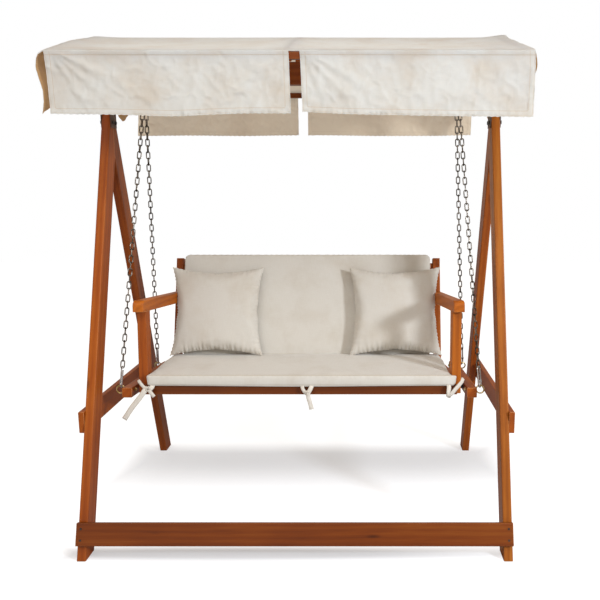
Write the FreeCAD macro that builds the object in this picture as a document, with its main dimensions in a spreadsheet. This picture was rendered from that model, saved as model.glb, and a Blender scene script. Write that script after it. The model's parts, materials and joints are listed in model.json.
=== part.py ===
import FreeCAD
import Part
import Sketcher
import math
import os
import re

# Canopy garden swing, in millimetres and degrees.
# +X is to the right seen from the front, +Y is to the back and +Z is up.
# The origin lies on the ground, under the middle of the beam.
# The standing frame is drawn in this frame. The seat is drawn level, with its deck at
# height 0, and then tilted; the back is drawn upright in the seat and then leaned.

SIZES = {
    # A-frames
    "frame_half_gap": 792,      # middle of the swing to the inner face of a leg
    "leg_thick": 35,
    "leg_width": 80,
    "apex_gap": 44,             # beam's underside down to the point that the legs aim at
    "foot_half_depth": 572,     # middle of the swing to the outer edge of a foot
    "leg_top_gap": 70,          # air between the leg tips and the bracket's web
    "wood_round": 4,            # rounding of the frame's long edges
    "fine_round": 3,            # rounding of the seat's and canopy's slim timbers
    # Braces and stretcher
    "brace_thick": 22,
    "brace_height": 85,
    "brace_bottom": 450,
    "stretcher_thick": 20,
    "stretcher_width": 86,
    "stretcher_bottom": 56,
    "screw_radius": 2.2,
    "screw_head_radius": 4,
    "screw_head_height": 1.5,
    "screw_length": 40,
    "screw_pitch": 42,          # between the two screws at an end of the stretcher
    # Beam and its brackets
    "beam_thick": 45,
    "beam_height": 90,
    "beam_bottom": 1812,
    "bracket_plate": 4,
    "bracket_width": 62,
    "bracket_drop": 173,
    "bolt_radius": 4,
    "bolt_head_radius": 8,
    "bolt_head_height": 5,
    "bolt_rise": 22,            # bracket's lower edge up to its bolts
    "bolt_offset": 16,          # apex seam out to a bolt
    "hole_clearance": 0.15,
    # Hangers under the beam
    "hanger_inset": 136,        # inner face of a leg in to a hanger
    "eye_drop": 52,             # beam's underside down to the swing axis
    "eye_radius": 14,
    "eye_thick": 9,
    "eye_shank_radius": 5,
    "washer_radius": 13,
    "washer_thick": 2.5,
    "nut_radius": 9.8,
    "nut_height": 8,
    "shank_end": 4,             # thread that stands out of a nut
    "shackle_pin_radius": 5,
    "pin_clearance": 0.05,
    "shackle_half_width": 20,
    "shackle_leg": 20,
    "shackle_wire_radius": 3.5,
    "shackle_ear_radius": 9,
    "shackle_ear_thick": 8,
    # Canopy
    "canopy_overhang": 7,       # end of the beam out to the gable cloth
    "canopy_half_depth": 535,
    "ridge_rise": 98,           # beam's top up to the ridge cloth
    "eave_drop": 150,           # ridge cloth down to an eave
    "cloth": 3,
    "cloth_gap": 0.5,
    "flap_drop": 200,
    "front_slit": 38,
    "front_slit_middle": 26,
    "rear_slit": 48,
    "rear_slit_middle": -50,
    "rail_thick": 22,
    "rail_height": 24,
    "ridge_thick": 30,
    "rafter_thick": 25,
    "rafter_height": 35,
    "rafter_end_gap": 34,       # canopy's gable cloth in to an end rafter
    "arm_beam_height": 27,      # canopy arms, from the beam to the eave rails
    "arm_beam_thick": 25,
    "arm_beam_inset": 118,      # gable cloth in to a canopy arm
    "ridge_post_thick": 40,
    # Seat frame, before it is tilted
    "seat_height": 586,         # height of the deck over the swing's middle
    "seat_shift": -55,          # deck's reference line behind the swing's middle
    "seat_tilt": 4.4,
    "seat_front": 222,          # reference line forward to the front rail's face
    "front_rail_thick": 22,
    "front_rail_height": 40,
    "front_rail_inset": 18,
    "seat_side_gap": 132,       # inner face of a leg in to the front of the seat's side
    "side_splay": 6,            # side rails and arms close in towards the back
    "arm_post_width": 38,
    "arm_post_depth": 40,
    "side_rail_thick": 35,
    "side_rail_rise": 25,       # side rail's top over the deck
    "side_rail_drop": 40,       # side rail's underside below the deck
    "ledger_size": 25,
    "rear_rail_thick": 35,
    "rear_rail_height": 40,
    "rear_rail_gap": 15,        # rear rail to the back's front plane
    "slat_thick": 18,
    "slat_width": 90,
    "slat_count": 9,
    "slat_end_gap": 1,
    # Arms
    "arm_top": 344,
    "arm_height": 46,
    "arm_width": 44,
    "arm_overhang": 28,         # arm's nose in front of its post
    "arm_outset": 5,            # arm's outer face outside its post
    "arm_nose": 22,
    # Back, before it is leaned
    "back_face": 160,           # reference line back to the back's front plane
    "back_lean": 12.5,
    "back_post_width": 33,
    "back_post_depth": 40,
    "back_post_top": 510,
    "back_post_foot": 58,
    "back_rail_thick": 22,
    "back_rail_height": 42,
    "back_rail_drop": 22,       # post's top down to the upper back rail
    "back_rail_low": 70,
    "back_slat_thick": 10,
    "back_slat_width": 60,
    "back_slat_count": 8,
    # Bearers that the chains hold
    "bearer_gap": 22,           # seat's side out to a bearer, at the front
    "bearer_size": 40,
    "bearer_top": -12,
    "bearer_front": 224,
    "bearer_rear": 350,
    "ring_front": 186,
    "ring_rear": 318,
    "ring_height": -26,
    "ring_radius": 16,          # middle of the ring's wire
    "ring_wire_radius": 3,
    "ring_shank_radius": 3.5,
    "ring_nut_radius": 7.5,
    "ring_nut_height": 6,
    "spacer_radius": 8,
    "bearer_screw_radius": 4,
    "bearer_screw_bite": 26,    # screw's length in the seat frame
    "bearer_screw_front": -120,
    "bearer_screw_rear": 112,
    "bearer_screw_height": -28,
    # Chains and snap hooks
    "chain_pitch": 27,
    "chain_wire_radius": 2.3,
    "chain_link_half": 7.2,     # middle of the link's wire to its long axis
    "link_gap": 0.2,
    "bow_gap": 0.9,             # top link to the shackle that it leans in
    "chain_spread": 6,          # chain to the middle of its shackle
    "hook_length": 84,
    "hook_bend": 13,
    "hook_wire_radius": 3.5,
    "hook_turn": 62,            # hook's plane against the swing axis
    "gate_pivot_rise": 8,
    "gate_knuckle_radius": 4.2,
    "gate_stub": 3,
    "gate_pin_radius": 1.25,
    "gate_slot": 3,
    "gate_tongue": 2.4,
    "gate_tongue_reach": 3,
    "gate_slot_reach": 5.2,
    "gate_lug_half": 3.8,
    "gate_lug_cap": 2,          # solid lug over the slot
    "gate_tip_gap": 0.8,
    # Soft parts
    "soft_gap": 0.3,
    "seat_pad_thick": 58,
    "seat_pad_front": 236,
    "seat_pad_rear_gap": 8,
    "seat_pad_side_gap": 2,
    "seat_pad_corner": 26,
    "seat_pad_round": 20,
    "back_pad_side_gap": 15,    # back cushion to a back post
    "back_pad_thick": 48,
    "back_pad_low": 53,
    "back_pad_rise": 11,        # back cushion's top over the posts
    "back_pad_corner": 32,
    "back_pad_round": 14,
    "pillow_width": 366,
    "pillow_height": 380,
    "pillow_thick": 100,
    "pillow_round": 46,
    "pillow_corner": 30,
    "pillow_side_gap": 7,       # inner face of a back post in to a pillow's side
    "pillow_low": 52,
    # Ties of the seat cushion
    "tie_width": 18,
    "tie_thick": 2,
    "tie_knot": 20,
    "tie_inset": 20,            # end of the front rail in to a tie
    "tie_tail": 140,
    "tie_short_tail": 75,
    "tie_tail_angle": 40,
}

doc = FreeCAD.newDocument("garden_swing")
sheet = doc.addObject("Spreadsheet::Sheet", "sizes")
for row, (name, value) in enumerate(SIZES.items(), start=1):
    sheet.set(f"A{row}", name)
    sheet.set(f"B{row}", str(value))
    sheet.setAlias(f"B{row}", name)
doc.recompute()

Vector = FreeCAD.Vector
SIDES = (("left", -1), ("right", 1))
ENDS = (("front", -1), ("rear", 1))
nodes = []
NEAR = 0.01


# Sizes in formulas

def cell(text):
    """A formula over size names, written as an expression over the sheet's cells."""
    return re.sub(r"[a-z][a-z_0-9]*", lambda word: "sizes." + word[0] if word[0] in SIZES else word[0], text)


def num(text):
    """The value of a formula over size names."""
    return float(sheet.evalExpression(cell(text)))


LEG_SLOPE = "(foot_half_depth / (beam_bottom - apex_gap))"
FOOT = f"(leg_width * sqrt(1 + {LEG_SLOPE} * {LEG_SLOPE}))"
SEAM_BASE = f"((foot_half_depth - {FOOT}) / {LEG_SLOPE})"
LEG_TOP = "(beam_bottom - bracket_plate - leg_top_gap)"
FRAME_OUTER = "(frame_half_gap + leg_thick)"
BEAM_HALF = f"({FRAME_OUTER} + bracket_plate)"
BEAM_TOP = "(beam_bottom + beam_height)"
BRACKET_LOW = "(beam_bottom - bracket_drop)"
BOLT_HEIGHT = f"({BRACKET_LOW} + bolt_rise)"
BRACE_MIDDLE = "(brace_bottom + brace_height / 2)"
SWING_AXIS = "(beam_bottom - eye_drop)"
HANGER_HALF = "(frame_half_gap - hanger_inset)"
CANOPY_HALF = f"({BEAM_HALF} + canopy_overhang)"
RIDGE_CLOTH = f"({BEAM_TOP} + ridge_rise)"
EAVE_CLOTH = f"({RIDGE_CLOTH} - eave_drop)"
PITCH = "(eave_drop / canopy_half_depth)"
CLOTH_DROP = f"(cloth * sqrt(1 + {PITCH} * {PITCH}))"
SPLAY = "tan(side_splay)"
SEAT = "placement(vector(0; seat_shift; seat_height); rotation(vector(1; 0; 0); -seat_tilt))"
BACK = (
    "placement(vector(0; seat_shift + back_face * cos(seat_tilt); seat_height - back_face * sin(seat_tilt));"
    " rotation(vector(1; 0; 0); -seat_tilt - back_lean))"
)
SEAT_HALF = "(frame_half_gap - seat_side_gap)"
POST_FRONT = "(-seat_front + front_rail_thick)"
POST_REAR = f"({POST_FRONT} + arm_post_depth)"
BACK_SLOPE = "tan(back_lean)"


def leg_face(height):
    """How far a leg's outer face stands from the swing's middle at a height."""
    return f"(foot_half_depth - {height} * {LEG_SLOPE})"


def roof_under(reach):
    """Height of the roof cloth's underside at a distance from the ridge."""
    return f"({RIDGE_CLOTH} - {CLOTH_DROP} - {PITCH} * ({reach}))"


def side_face(depth):
    """How far an arm post's outer face stands from the seat's middle at a depth."""
    return f"({SEAT_HALF} - ({depth} - {POST_FRONT}) * {SPLAY})"


# Ways of making a piece

def keep(piece, label, placement=None):
    """Name a piece, set it in the tilted seat or back if asked, and list it for writing."""
    piece.Label = label
    if placement:
        piece.setExpression("Placement", cell(placement))
    nodes.append(piece)
    return piece


def origin_plane(body, role):
    return next(plane for plane in body.Origin.OriginFeatures if plane.Role == role)


def sketch_on(body, role):
    sketch = body.newObject("Sketcher::SketchObject", body.Name + "_sketch")
    sketch.AttachmentSupport = [(origin_plane(body, role), "")]
    sketch.MapMode = "FlatFace"
    return sketch


def pin_down(sketch, geometry, point, spot):
    """Tie a point of a sketch to two formulas."""
    for kind, text in zip(("DistanceX", "DistanceY"), spot):
        index = sketch.addConstraint(Sketcher.Constraint(kind, geometry, point, num(text)))
        sketch.setExpression(f"Constraints[{index}]", cell(text))


def polygon(body, role, corners):
    """A closed outline with straight sides, each corner bound to the sizes."""
    sketch = sketch_on(body, role)
    points = [Vector(num(across), num(up), 0) for across, up in corners]
    count = len(points)
    for k in range(count):
        sketch.addGeometry(Part.LineSegment(points[k], points[(k + 1) % count]), False)
    for k in range(count):
        sketch.addConstraint(Sketcher.Constraint("Coincident", k, 2, (k + 1) % count, 1))
    for k, corner in enumerate(corners):
        pin_down(sketch, k, 1, corner)
    return sketch


def prism(name, role, corners, start, length):
    """A body: an outline on an origin plane, moved to its start and padded by its length."""
    body = doc.addObject("PartDesign::Body", name)
    sketch = polygon(body, role, corners)
    facing = -1 if role == "XZ_Plane" else 1
    sketch.setExpression("AttachmentOffset.Base.z", cell(f"{facing} * ({start})"))
    pad = body.newObject("PartDesign::Pad", name + "_pad")
    pad.Profile = sketch
    pad.setExpression("Length", cell(length))
    doc.recompute()
    return body


def rectangle(low, high):
    """The four corners of an upright rectangle."""
    return [low, (high[0], low[1]), high, (low[0], high[1])]


def cut_through(body, sketch):
    """Cut a sketch right through a body, both ways from its plane."""
    pocket = body.newObject("PartDesign::Pocket", body.Name + "_cut")
    pocket.Profile = sketch
    pocket.Type = "ThroughAll"
    pocket.SideType = "Symmetric"
    before = sketch.getParentGeoFeatureGroup().Shape.Volume
    doc.recompute()
    assert body.Shape.Volume < before, body.Name + ": the cut missed"


def drill(body, role, spots, radius):
    """Round holes through a body, square to an origin plane."""
    sketch = sketch_on(body, role)
    for k, spot in enumerate(spots):
        middle = Vector(num(spot[0]), num(spot[1]), 0)
        sketch.addGeometry(Part.Circle(middle, Vector(0, 0, 1), num(radius)), False)
        pin_down(sketch, k, 3, spot)
        index = sketch.addConstraint(Sketcher.Constraint("Radius", k, num(radius)))
        sketch.setExpression(f"Constraints[{index}]", cell(radius))
    cut_through(body, sketch)


def soften(body, radius, wanted):
    """Round the edges of a body that the test picks."""
    tip = body.Tip
    names = [f"Edge{k}" for k, edge in enumerate(tip.Shape.Edges, start=1) if wanted(edge)]
    fillet = body.newObject("PartDesign::Fillet", body.Name + "_round")
    fillet.Base = (tip, names)
    fillet.setExpression("Radius", cell(radius))
    doc.recompute()


def straight(edge):
    return edge.Curve.TypeId == "Part::GeomLine"


def direction(edge):
    return (edge.Vertexes[1].Point - edge.Vertexes[0].Point).normalize()


def along(axis):
    """A test for straight edges that run along an axis."""
    return lambda edge: straight(edge) and abs(direction(edge).dot(axis)) > 0.999


def longest(count):
    """A test for a body's longest edges, found from the length of each."""
    def make(body):
        lengths = sorted((edge.Length for edge in body.Tip.Shape.Edges), reverse=True)
        shortest = lengths[count - 1] - 0.001
        return lambda edge: edge.Length > shortest
    return make


def bar(name, low, high):
    """A straight timber from one corner to the other, as a box bound to the sizes."""
    box = doc.addObject("Part::Box", name)
    for axis, corner in zip("xyz", low):
        box.setExpression(f"Placement.Base.{axis}", cell(corner))
    for size, start, end in zip(("Length", "Width", "Height"), low, high):
        box.setExpression(size, cell(f"({end}) - ({start})"))
    return box


def rounded_bar(name, low, high, radius, axis):
    """A timber with rounded long edges: a rectangle on the plane square to its length, padded."""
    role, across, up, run = {
        "x": ("YZ_Plane", 1, 2, 0),
        "y": ("XZ_Plane", 0, 2, 1),
        "z": ("XY_Plane", 0, 1, 2),
    }[axis]
    start = high[run] if axis == "y" else low[run]
    corners = rectangle((low[across], low[up]), (high[across], high[up]))
    body = prism(name, role, corners, start, f"({high[run]}) - ({low[run]})")
    soften(body, radius, along({"x": Vector(1, 0, 0), "y": Vector(0, 1, 0), "z": Vector(0, 0, 1)}[axis]))
    return body


def together(label, pieces, placement=None):
    """One node of several separate solids."""
    group = doc.addObject("Part::Compound", label)
    group.Links = pieces
    keep(group, label, placement)
    doc.recompute()
    return group


def feature(label, shapes, placement=None):
    """One node from solids that are worked out in code."""
    piece = doc.addObject("Part::Feature", label)
    piece.Shape = shapes[0] if len(shapes) == 1 else Part.makeCompound(shapes)
    return keep(piece, label, placement)


def mirror_start(hand, inner, thick):
    """Where a piece's padding along X starts, on either side."""
    return inner if hand > 0 else f"-({inner}) - ({thick})"


def rod(start, axis, length, radius):
    return Part.makeCylinder(radius, length, start, axis)


def hexagon(start, axis, radius, height):
    """A nut's outside, square to an axis."""
    turn = FreeCAD.Rotation(Vector(0, 0, 1), axis)
    points = [Vector(math.cos(k * math.pi / 3), math.sin(k * math.pi / 3), 0) * radius for k in range(7)]
    face = Part.Face(Part.makePolygon([start + turn.multVec(point) for point in points]))
    return face.extrude(axis * height)


def wire_rod(edges, radius):
    """Round wire bent along a path of lines and arcs."""
    path = Part.Wire(edges)
    start = path.Edges[0]
    at = start.valueAt(start.FirstParameter)
    ahead = start.tangentAt(start.FirstParameter)
    ring = Part.Wire([Part.makeCircle(radius, at, ahead)])
    solid = path.makePipeShell([ring], True, False)
    expected = math.pi * radius ** 2 * path.Length
    assert abs(solid.Volume / expected - 1) < 0.01, "bent wire came out wrong"
    return solid


def arc(first, middle, last):
    return Part.Arc(first, middle, last).toShape()


def line(first, last):
    return Part.LineSegment(first, last).toShape()


# Legs, in mitred pairs

def leg(end, sign, side, hand):
    outline = [
        (f"{sign} * foot_half_depth", "0"),
        (f"{sign} * (foot_half_depth - {FOOT})", "0"),
        ("0", SEAM_BASE),
        ("0", LEG_TOP),
        (f"{sign} * {leg_face(LEG_TOP)}", LEG_TOP),
    ]
    name = f"{end}_leg_{side}"
    body = prism(name, "YZ_Plane", outline, mirror_start(hand, "frame_half_gap", "leg_thick"), "leg_thick")
    soften(body, "wood_round", longest(4)(body))
    drill(body, "YZ_Plane", [(f"{sign} * bolt_offset", BOLT_HEIGHT)], "bolt_radius + hole_clearance")
    keep(body, name)


for end, sign in ENDS:
    for side, hand in SIDES:
        leg(end, sign, side, hand)


# Side braces, on the outer faces of the legs

def side_brace(hand):
    half = leg_face(BRACE_MIDDLE)
    start = mirror_start(hand, FRAME_OUTER, "brace_thick")
    low = (start, f"-{half}", "brace_bottom")
    high = (f"{start} + brace_thick", half, "brace_bottom + brace_height")
    return rounded_bar("brace", low, high, "fine_round", "y")


together("side_braces", [side_brace(hand) for side, hand in SIDES])


# Front stretcher, flat on the sloping faces of the front legs

STRETCHER = (
    f"placement(vector(0; -{leg_face('stretcher_bottom')}; stretcher_bottom);"
    f" rotation(vector(1; 0; 0); -atan({LEG_SLOPE})))"
)
stretcher = rounded_bar(
    "stretcher",
    (f"-{FRAME_OUTER}", "-stretcher_thick", "0"),
    (FRAME_OUTER, "0", "stretcher_width"),
    "wood_round", "x",
)
keep(stretcher, "front_stretcher", STRETCHER)


# Wood screws and bolts of the frame

def screw(tip_side, axis):
    """A wood screw: its head stands on the surface at tip_side and its shank runs along the axis."""
    shank = rod(tip_side, axis, num("screw_length"), num("screw_radius"))
    head = rod(tip_side, axis * -1, num("screw_head_height"), num("screw_head_radius"))
    return shank.fuse(head)


def stretcher_screws():
    across = num("frame_half_gap + leg_thick / 2")
    heights = [num("stretcher_width / 2") + k * num("screw_pitch / 2") for k in (-1, 1)]
    face = -num("stretcher_thick")
    return [screw(Vector(hand * across, face, up), Vector(0, 1, 0)) for side, hand in SIDES for up in heights]


def brace_screws():
    outer = num(f"{FRAME_OUTER} + brace_thick")
    height = num(BRACE_MIDDLE)
    reach = num(f"{leg_face(BRACE_MIDDLE)} - {FOOT} / 2")
    return [
        screw(Vector(hand * outer, sign * reach, height), Vector(-hand, 0, 0))
        for side, hand in SIDES for end, sign in ENDS
    ]


def apex_bolt(hand, sign):
    """Through both cheeks of a bracket and one leg, with a round head outside and a nut inside."""
    axis = Vector(hand, 0, 0)
    seat = Vector(0, sign * num("bolt_offset"), num(BOLT_HEIGHT))
    inner = seat + axis * num("frame_half_gap - bracket_plate")
    outer = seat + axis * num(BEAM_HALF)
    shank = rod(inner, axis, (outer - inner).Length, num("bolt_radius"))
    head = rod(outer, axis, num("bolt_head_height"), num("bolt_head_radius"))
    nut = hexagon(inner, axis * -1, num("bolt_head_radius"), num("bolt_head_height"))
    return shank.fuse([head, nut])


feature("stretcher_screws", stretcher_screws(), STRETCHER)
feature("brace_screws", brace_screws())
feature("apex_bolts", [apex_bolt(hand, sign) for side, hand in SIDES for end, sign in ENDS])


# Apex brackets: steel folded over the leg tips, with the beam on the web

def apex_bracket(hand):
    inner = "frame_half_gap"
    web = "beam_bottom - bracket_plate"
    outline = [
        (f"{inner} - bracket_plate", BRACKET_LOW),
        (inner, BRACKET_LOW),
        (inner, web),
        (FRAME_OUTER, web),
        (FRAME_OUTER, BRACKET_LOW),
        (BEAM_HALF, BRACKET_LOW),
        (BEAM_HALF, "beam_bottom"),
        (f"{inner} - bracket_plate", "beam_bottom"),
    ]
    outline = [(f"{hand} * ({across})", up) for across, up in outline]
    body = prism("bracket", "XZ_Plane", outline, "bracket_width / 2", "bracket_width")
    spots = [(f"{sign} * bolt_offset", BOLT_HEIGHT) for end, sign in ENDS]
    drill(body, "YZ_Plane", spots, "bolt_radius + hole_clearance")
    return body


together("apex_brackets", [apex_bracket(hand) for side, hand in SIDES])


# Main beam

beam = rounded_bar(
    "beam",
    (f"-{BEAM_HALF}", "-beam_thick / 2", "beam_bottom"),
    (BEAM_HALF, "beam_thick / 2", BEAM_TOP),
    "wood_round", "x",
)
drill(
    beam, "XY_Plane",
    [(f"{hand} * {HANGER_HALF}", "0") for side, hand in SIDES],
    "eye_shank_radius + hole_clearance",
)
keep(beam, "main_beam")


# Eye bolts through the beam, with a washer and a nut on top

def beam_eye(hand):
    """The eye's hole runs along X and holds the shackle's pin."""
    middle = Vector(hand * num(HANGER_HALF), 0, num(SWING_AXIS))
    up = Vector(0, 0, 1)
    half = Vector(num("eye_thick / 2"), 0, 0)
    eye = rod(middle - half, Vector(1, 0, 0), num("eye_thick"), num("eye_radius"))
    top = num(f"{BEAM_TOP} + washer_thick + nut_height + shank_end")
    shank = rod(middle, up, top - middle.z, num("eye_shank_radius"))
    under = Vector(middle.x, 0, num("beam_bottom - washer_thick"))
    collar = rod(under, up, num("washer_thick"), num("washer_radius"))
    bore = num("shackle_pin_radius + pin_clearance")
    hole = rod(middle - half * 2, Vector(1, 0, 0), num("2 * eye_thick"), bore)
    return eye.fuse([shank, collar]).cut(hole)


def beam_nut(hand):
    up = Vector(0, 0, 1)
    foot = Vector(hand * num(HANGER_HALF), 0, num(BEAM_TOP))
    washer = rod(foot, up, num("washer_thick"), num("washer_radius"))
    nut = hexagon(foot + up * num("washer_thick"), up, num("nut_radius"), num("nut_height"))
    bore = rod(foot, up, num("washer_thick + nut_height"), num("eye_shank_radius + hole_clearance"))
    return washer.fuse(nut).cut(bore)


feature("beam_eye_bolts", [beam_eye(hand) for side, hand in SIDES])
feature("beam_eye_nuts", [beam_nut(hand) for side, hand in SIDES])


# Canopy frame

RAIL_OUTER = "(canopy_half_depth - cloth - cloth_gap)"
RAIL_INNER = f"({RAIL_OUTER} - rail_thick)"
RAIL_TOP = f"({roof_under(RAIL_OUTER)} - cloth_gap)"
CANOPY_INNER = f"({CANOPY_HALF} - cloth - cloth_gap)"
END_RAFTER = f"({CANOPY_HALF} - rafter_end_gap)"
EAVE_RAIL_HALF = f"({END_RAFTER} + rafter_thick / 2)"
RIDGE_HALF = "(ridge_thick / 2)"
ARM_BEAM_HALF = f"({CANOPY_HALF} - arm_beam_inset)"
RIDGE_TOP = f"({roof_under(RIDGE_HALF)} - cloth_gap)"
RIDGE_LOW = f"({RIDGE_TOP} - rail_height)"


def eave_rail(sign):
    near, far = (RAIL_INNER, RAIL_OUTER) if sign > 0 else (f"-{RAIL_OUTER}", f"-{RAIL_INNER}")
    low = (f"-{EAVE_RAIL_HALF}", near, f"{RAIL_TOP} - rail_height")
    high = (EAVE_RAIL_HALF, far, RAIL_TOP)
    return rounded_bar("eave_rail", low, high, "fine_round", "x")


def rafter(sign, middle):
    """Under one roof slope, from the ridge rail to an eave rail, with upright ends."""
    outline = [
        (f"{sign} * {RIDGE_HALF}", f"{roof_under(RIDGE_HALF)} - cloth_gap"),
        (f"{sign} * {RAIL_INNER}", f"{roof_under(RAIL_INNER)} - cloth_gap"),
        (f"{sign} * {RAIL_INNER}", f"{roof_under(RAIL_INNER)} - cloth_gap - rafter_height"),
        (f"{sign} * {RIDGE_HALF}", f"{roof_under(RIDGE_HALF)} - cloth_gap - rafter_height"),
    ]
    return prism("rafter", "YZ_Plane", outline, f"{middle} - rafter_thick / 2", "rafter_thick")


def canopy_arm(sign, hand):
    """From a face of the beam out to an eave rail."""
    near, far = ("beam_thick / 2", RAIL_INNER) if sign > 0 else (f"-{RAIL_INNER}", "-beam_thick / 2")
    middle = f"{hand} * {ARM_BEAM_HALF}"
    low = (f"{middle} - arm_beam_thick / 2", near, "beam_bottom")
    high = (f"{middle} + arm_beam_thick / 2", far, "beam_bottom + arm_beam_height")
    return rounded_bar("canopy_arm", low, high, "fine_round", "y")


def ridge_post(middle):
    low = (f"{middle} - ridge_post_thick / 2", f"-{RIDGE_HALF}", BEAM_TOP)
    high = (f"{middle} + ridge_post_thick / 2", RIDGE_HALF, RIDGE_LOW)
    return rounded_bar("ridge_post", low, high, "fine_round", "z")


RAFTER_PLACES = (f"-{END_RAFTER}", "0", END_RAFTER)
POST_PLACES = (f"-{ARM_BEAM_HALF}", "0", ARM_BEAM_HALF)

together("canopy_eave_rails", [eave_rail(sign) for end, sign in ENDS])
ridge_rail = rounded_bar(
    "ridge",
    (f"-{CANOPY_INNER}", f"-{RIDGE_HALF}", RIDGE_LOW),
    (CANOPY_INNER, RIDGE_HALF, RIDGE_TOP),
    "fine_round", "x",
)
keep(ridge_rail, "canopy_ridge_rail")
together("canopy_rafters", [rafter(sign, place) for end, sign in ENDS for place in RAFTER_PLACES])
together("canopy_arms", [canopy_arm(sign, hand) for end, sign in ENDS for side, hand in SIDES])
together("canopy_ridge_posts", [ridge_post(place) for place in POST_PLACES])


# Canopy cloth

FLAP_TOP = f"({EAVE_CLOTH} - {CLOTH_DROP})"
FLAP_LOW = f"({EAVE_CLOTH} - flap_drop)"
FLAP_INNER = f"({CANOPY_HALF} - cloth)"


def roof_slope(end, sign):
    outline = [
        ("0", RIDGE_CLOTH),
        (f"{sign} * canopy_half_depth", EAVE_CLOTH),
        (f"{sign} * canopy_half_depth", FLAP_TOP),
        ("0", f"{RIDGE_CLOTH} - {CLOTH_DROP}"),
    ]
    body = prism("roof", "YZ_Plane", outline, f"-{CANOPY_HALF}", f"2 * {CANOPY_HALF}")
    keep(body, f"canopy_roof_{end}")


def eave_flaps(end, sign):
    """Two flaps along an eave, with a slit between them."""
    edges = (f"{end}_slit_middle - {end}_slit / 2", f"{end}_slit_middle + {end}_slit / 2")
    near, far = ("canopy_half_depth - cloth", "canopy_half_depth")
    if sign < 0:
        near, far = ("-canopy_half_depth", "-canopy_half_depth + cloth")
    left = bar("flap", (f"-{FLAP_INNER}", near, FLAP_LOW), (edges[0], far, FLAP_TOP))
    right = bar("flap", (edges[1], near, FLAP_LOW), (FLAP_INNER, far, FLAP_TOP))
    together(f"canopy_{end}_flaps", [left, right])


def gable_flap(hand):
    """Hangs from the sloping edges of the roof at one end, with its hem along the slope."""
    outline = [
        ("0", f"{RIDGE_CLOTH} - {CLOTH_DROP}"),
        ("canopy_half_depth", FLAP_TOP),
        ("canopy_half_depth", FLAP_LOW),
        ("0", f"{RIDGE_CLOTH} - flap_drop"),
        ("-canopy_half_depth", FLAP_LOW),
        ("-canopy_half_depth", FLAP_TOP),
    ]
    return prism("gable", "YZ_Plane", outline, mirror_start(hand, FLAP_INNER, "cloth"), "cloth")


for end, sign in ENDS:
    roof_slope(end, sign)
    eave_flaps(end, sign)
together("canopy_gable_flaps", [gable_flap(hand) for side, hand in SIDES])


# Seat deck

FRONT_RAIL_HALF = f"({SEAT_HALF} - front_rail_inset)"
front_rail = rounded_bar(
    "front_rail",
    (f"-{FRONT_RAIL_HALF}", "-seat_front", "-front_rail_height"),
    (FRONT_RAIL_HALF, POST_FRONT, "0"),
    "fine_round", "x",
)
keep(front_rail, "seat_front_rail", SEAT)

LEDGER_REAR = f"({POST_FRONT} + ledger_size)"
LEDGER_HALF = f"({side_face(LEDGER_REAR)} - arm_post_width)"
ledger = rounded_bar(
    "ledger",
    (f"-{LEDGER_HALF}", POST_FRONT, "-slat_thick - ledger_size"),
    (LEDGER_HALF, LEDGER_REAR, "-slat_thick"),
    "fine_round", "x",
)
keep(ledger, "seat_ledger", SEAT)

REAR_RAIL_BACK = "(back_face - rear_rail_gap)"
REAR_RAIL_HALF = f"({side_face(REAR_RAIL_BACK)} - side_rail_thick)"
rear_rail = rounded_bar(
    "rear_rail",
    (f"-{REAR_RAIL_HALF}", f"{REAR_RAIL_BACK} - rear_rail_thick", "-slat_thick - rear_rail_height"),
    (REAR_RAIL_HALF, REAR_RAIL_BACK, "-slat_thick"),
    "fine_round", "x",
)
keep(rear_rail, "seat_rear_rail", SEAT)

SLAT_SPAN = f"(2 * ({REAR_RAIL_HALF} - slat_width / 2 - slat_end_gap))"


def seat_slat(k):
    middle = f"({SLAT_SPAN} * ({k} / (slat_count - 1) - 0.5))"
    low = (f"{middle} - slat_width / 2", f"{POST_FRONT} + slat_end_gap", "-slat_thick")
    high = (f"{middle} + slat_width / 2", REAR_RAIL_BACK, "0")
    return bar("slat", low, high)


together("seat_slats", [seat_slat(k) for k in range(int(num("slat_count")))], SEAT)


# Side rails, arm posts and arms, which close in towards the back

def splayed(name, hand, outset, thick, front, rear, low, high):
    """A timber with its outer face parallel to the splayed side, between two heights."""
    outline = []
    for depth, inset in ((front, "0"), (rear, "0"), (rear, thick), (front, thick)):
        outline.append((f"{hand} * ({side_face(depth)} + {outset} - {inset})", depth))
    return prism(name, "XY_Plane", outline, low, f"({high}) - ({low})")


def trim_to_back(body, low, high):
    """Cut a timber's rear end along the leaning front plane of the back."""
    margin = "arm_width"
    below = f"({low} - {margin})"
    above = f"({high} + {margin})"
    beyond = f"(back_face + {above} * {BACK_SLOPE} + bearer_rear)"
    outline = [
        (f"back_face + {below} * {BACK_SLOPE}", below),
        (beyond, below),
        (beyond, above),
        (f"back_face + {above} * {BACK_SLOPE}", above),
    ]
    cut_through(body, polygon(body, "YZ_Plane", outline))


ARM_LOW = "(arm_top - arm_height)"
ARM_FRONT = f"({POST_FRONT} - arm_overhang)"


def top_nose(edge):
    """The upper front edge of an arm."""
    box = edge.BoundBox
    level = box.ZMin > num("arm_top") - NEAR
    return level and box.YMax < num(ARM_FRONT) + NEAR


def arm_long_edges(edge):
    """The upper edges along an arm."""
    box = edge.BoundBox
    return straight(edge) and box.ZMin > num("arm_top") - NEAR and box.YLength > num("arm_width")


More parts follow.
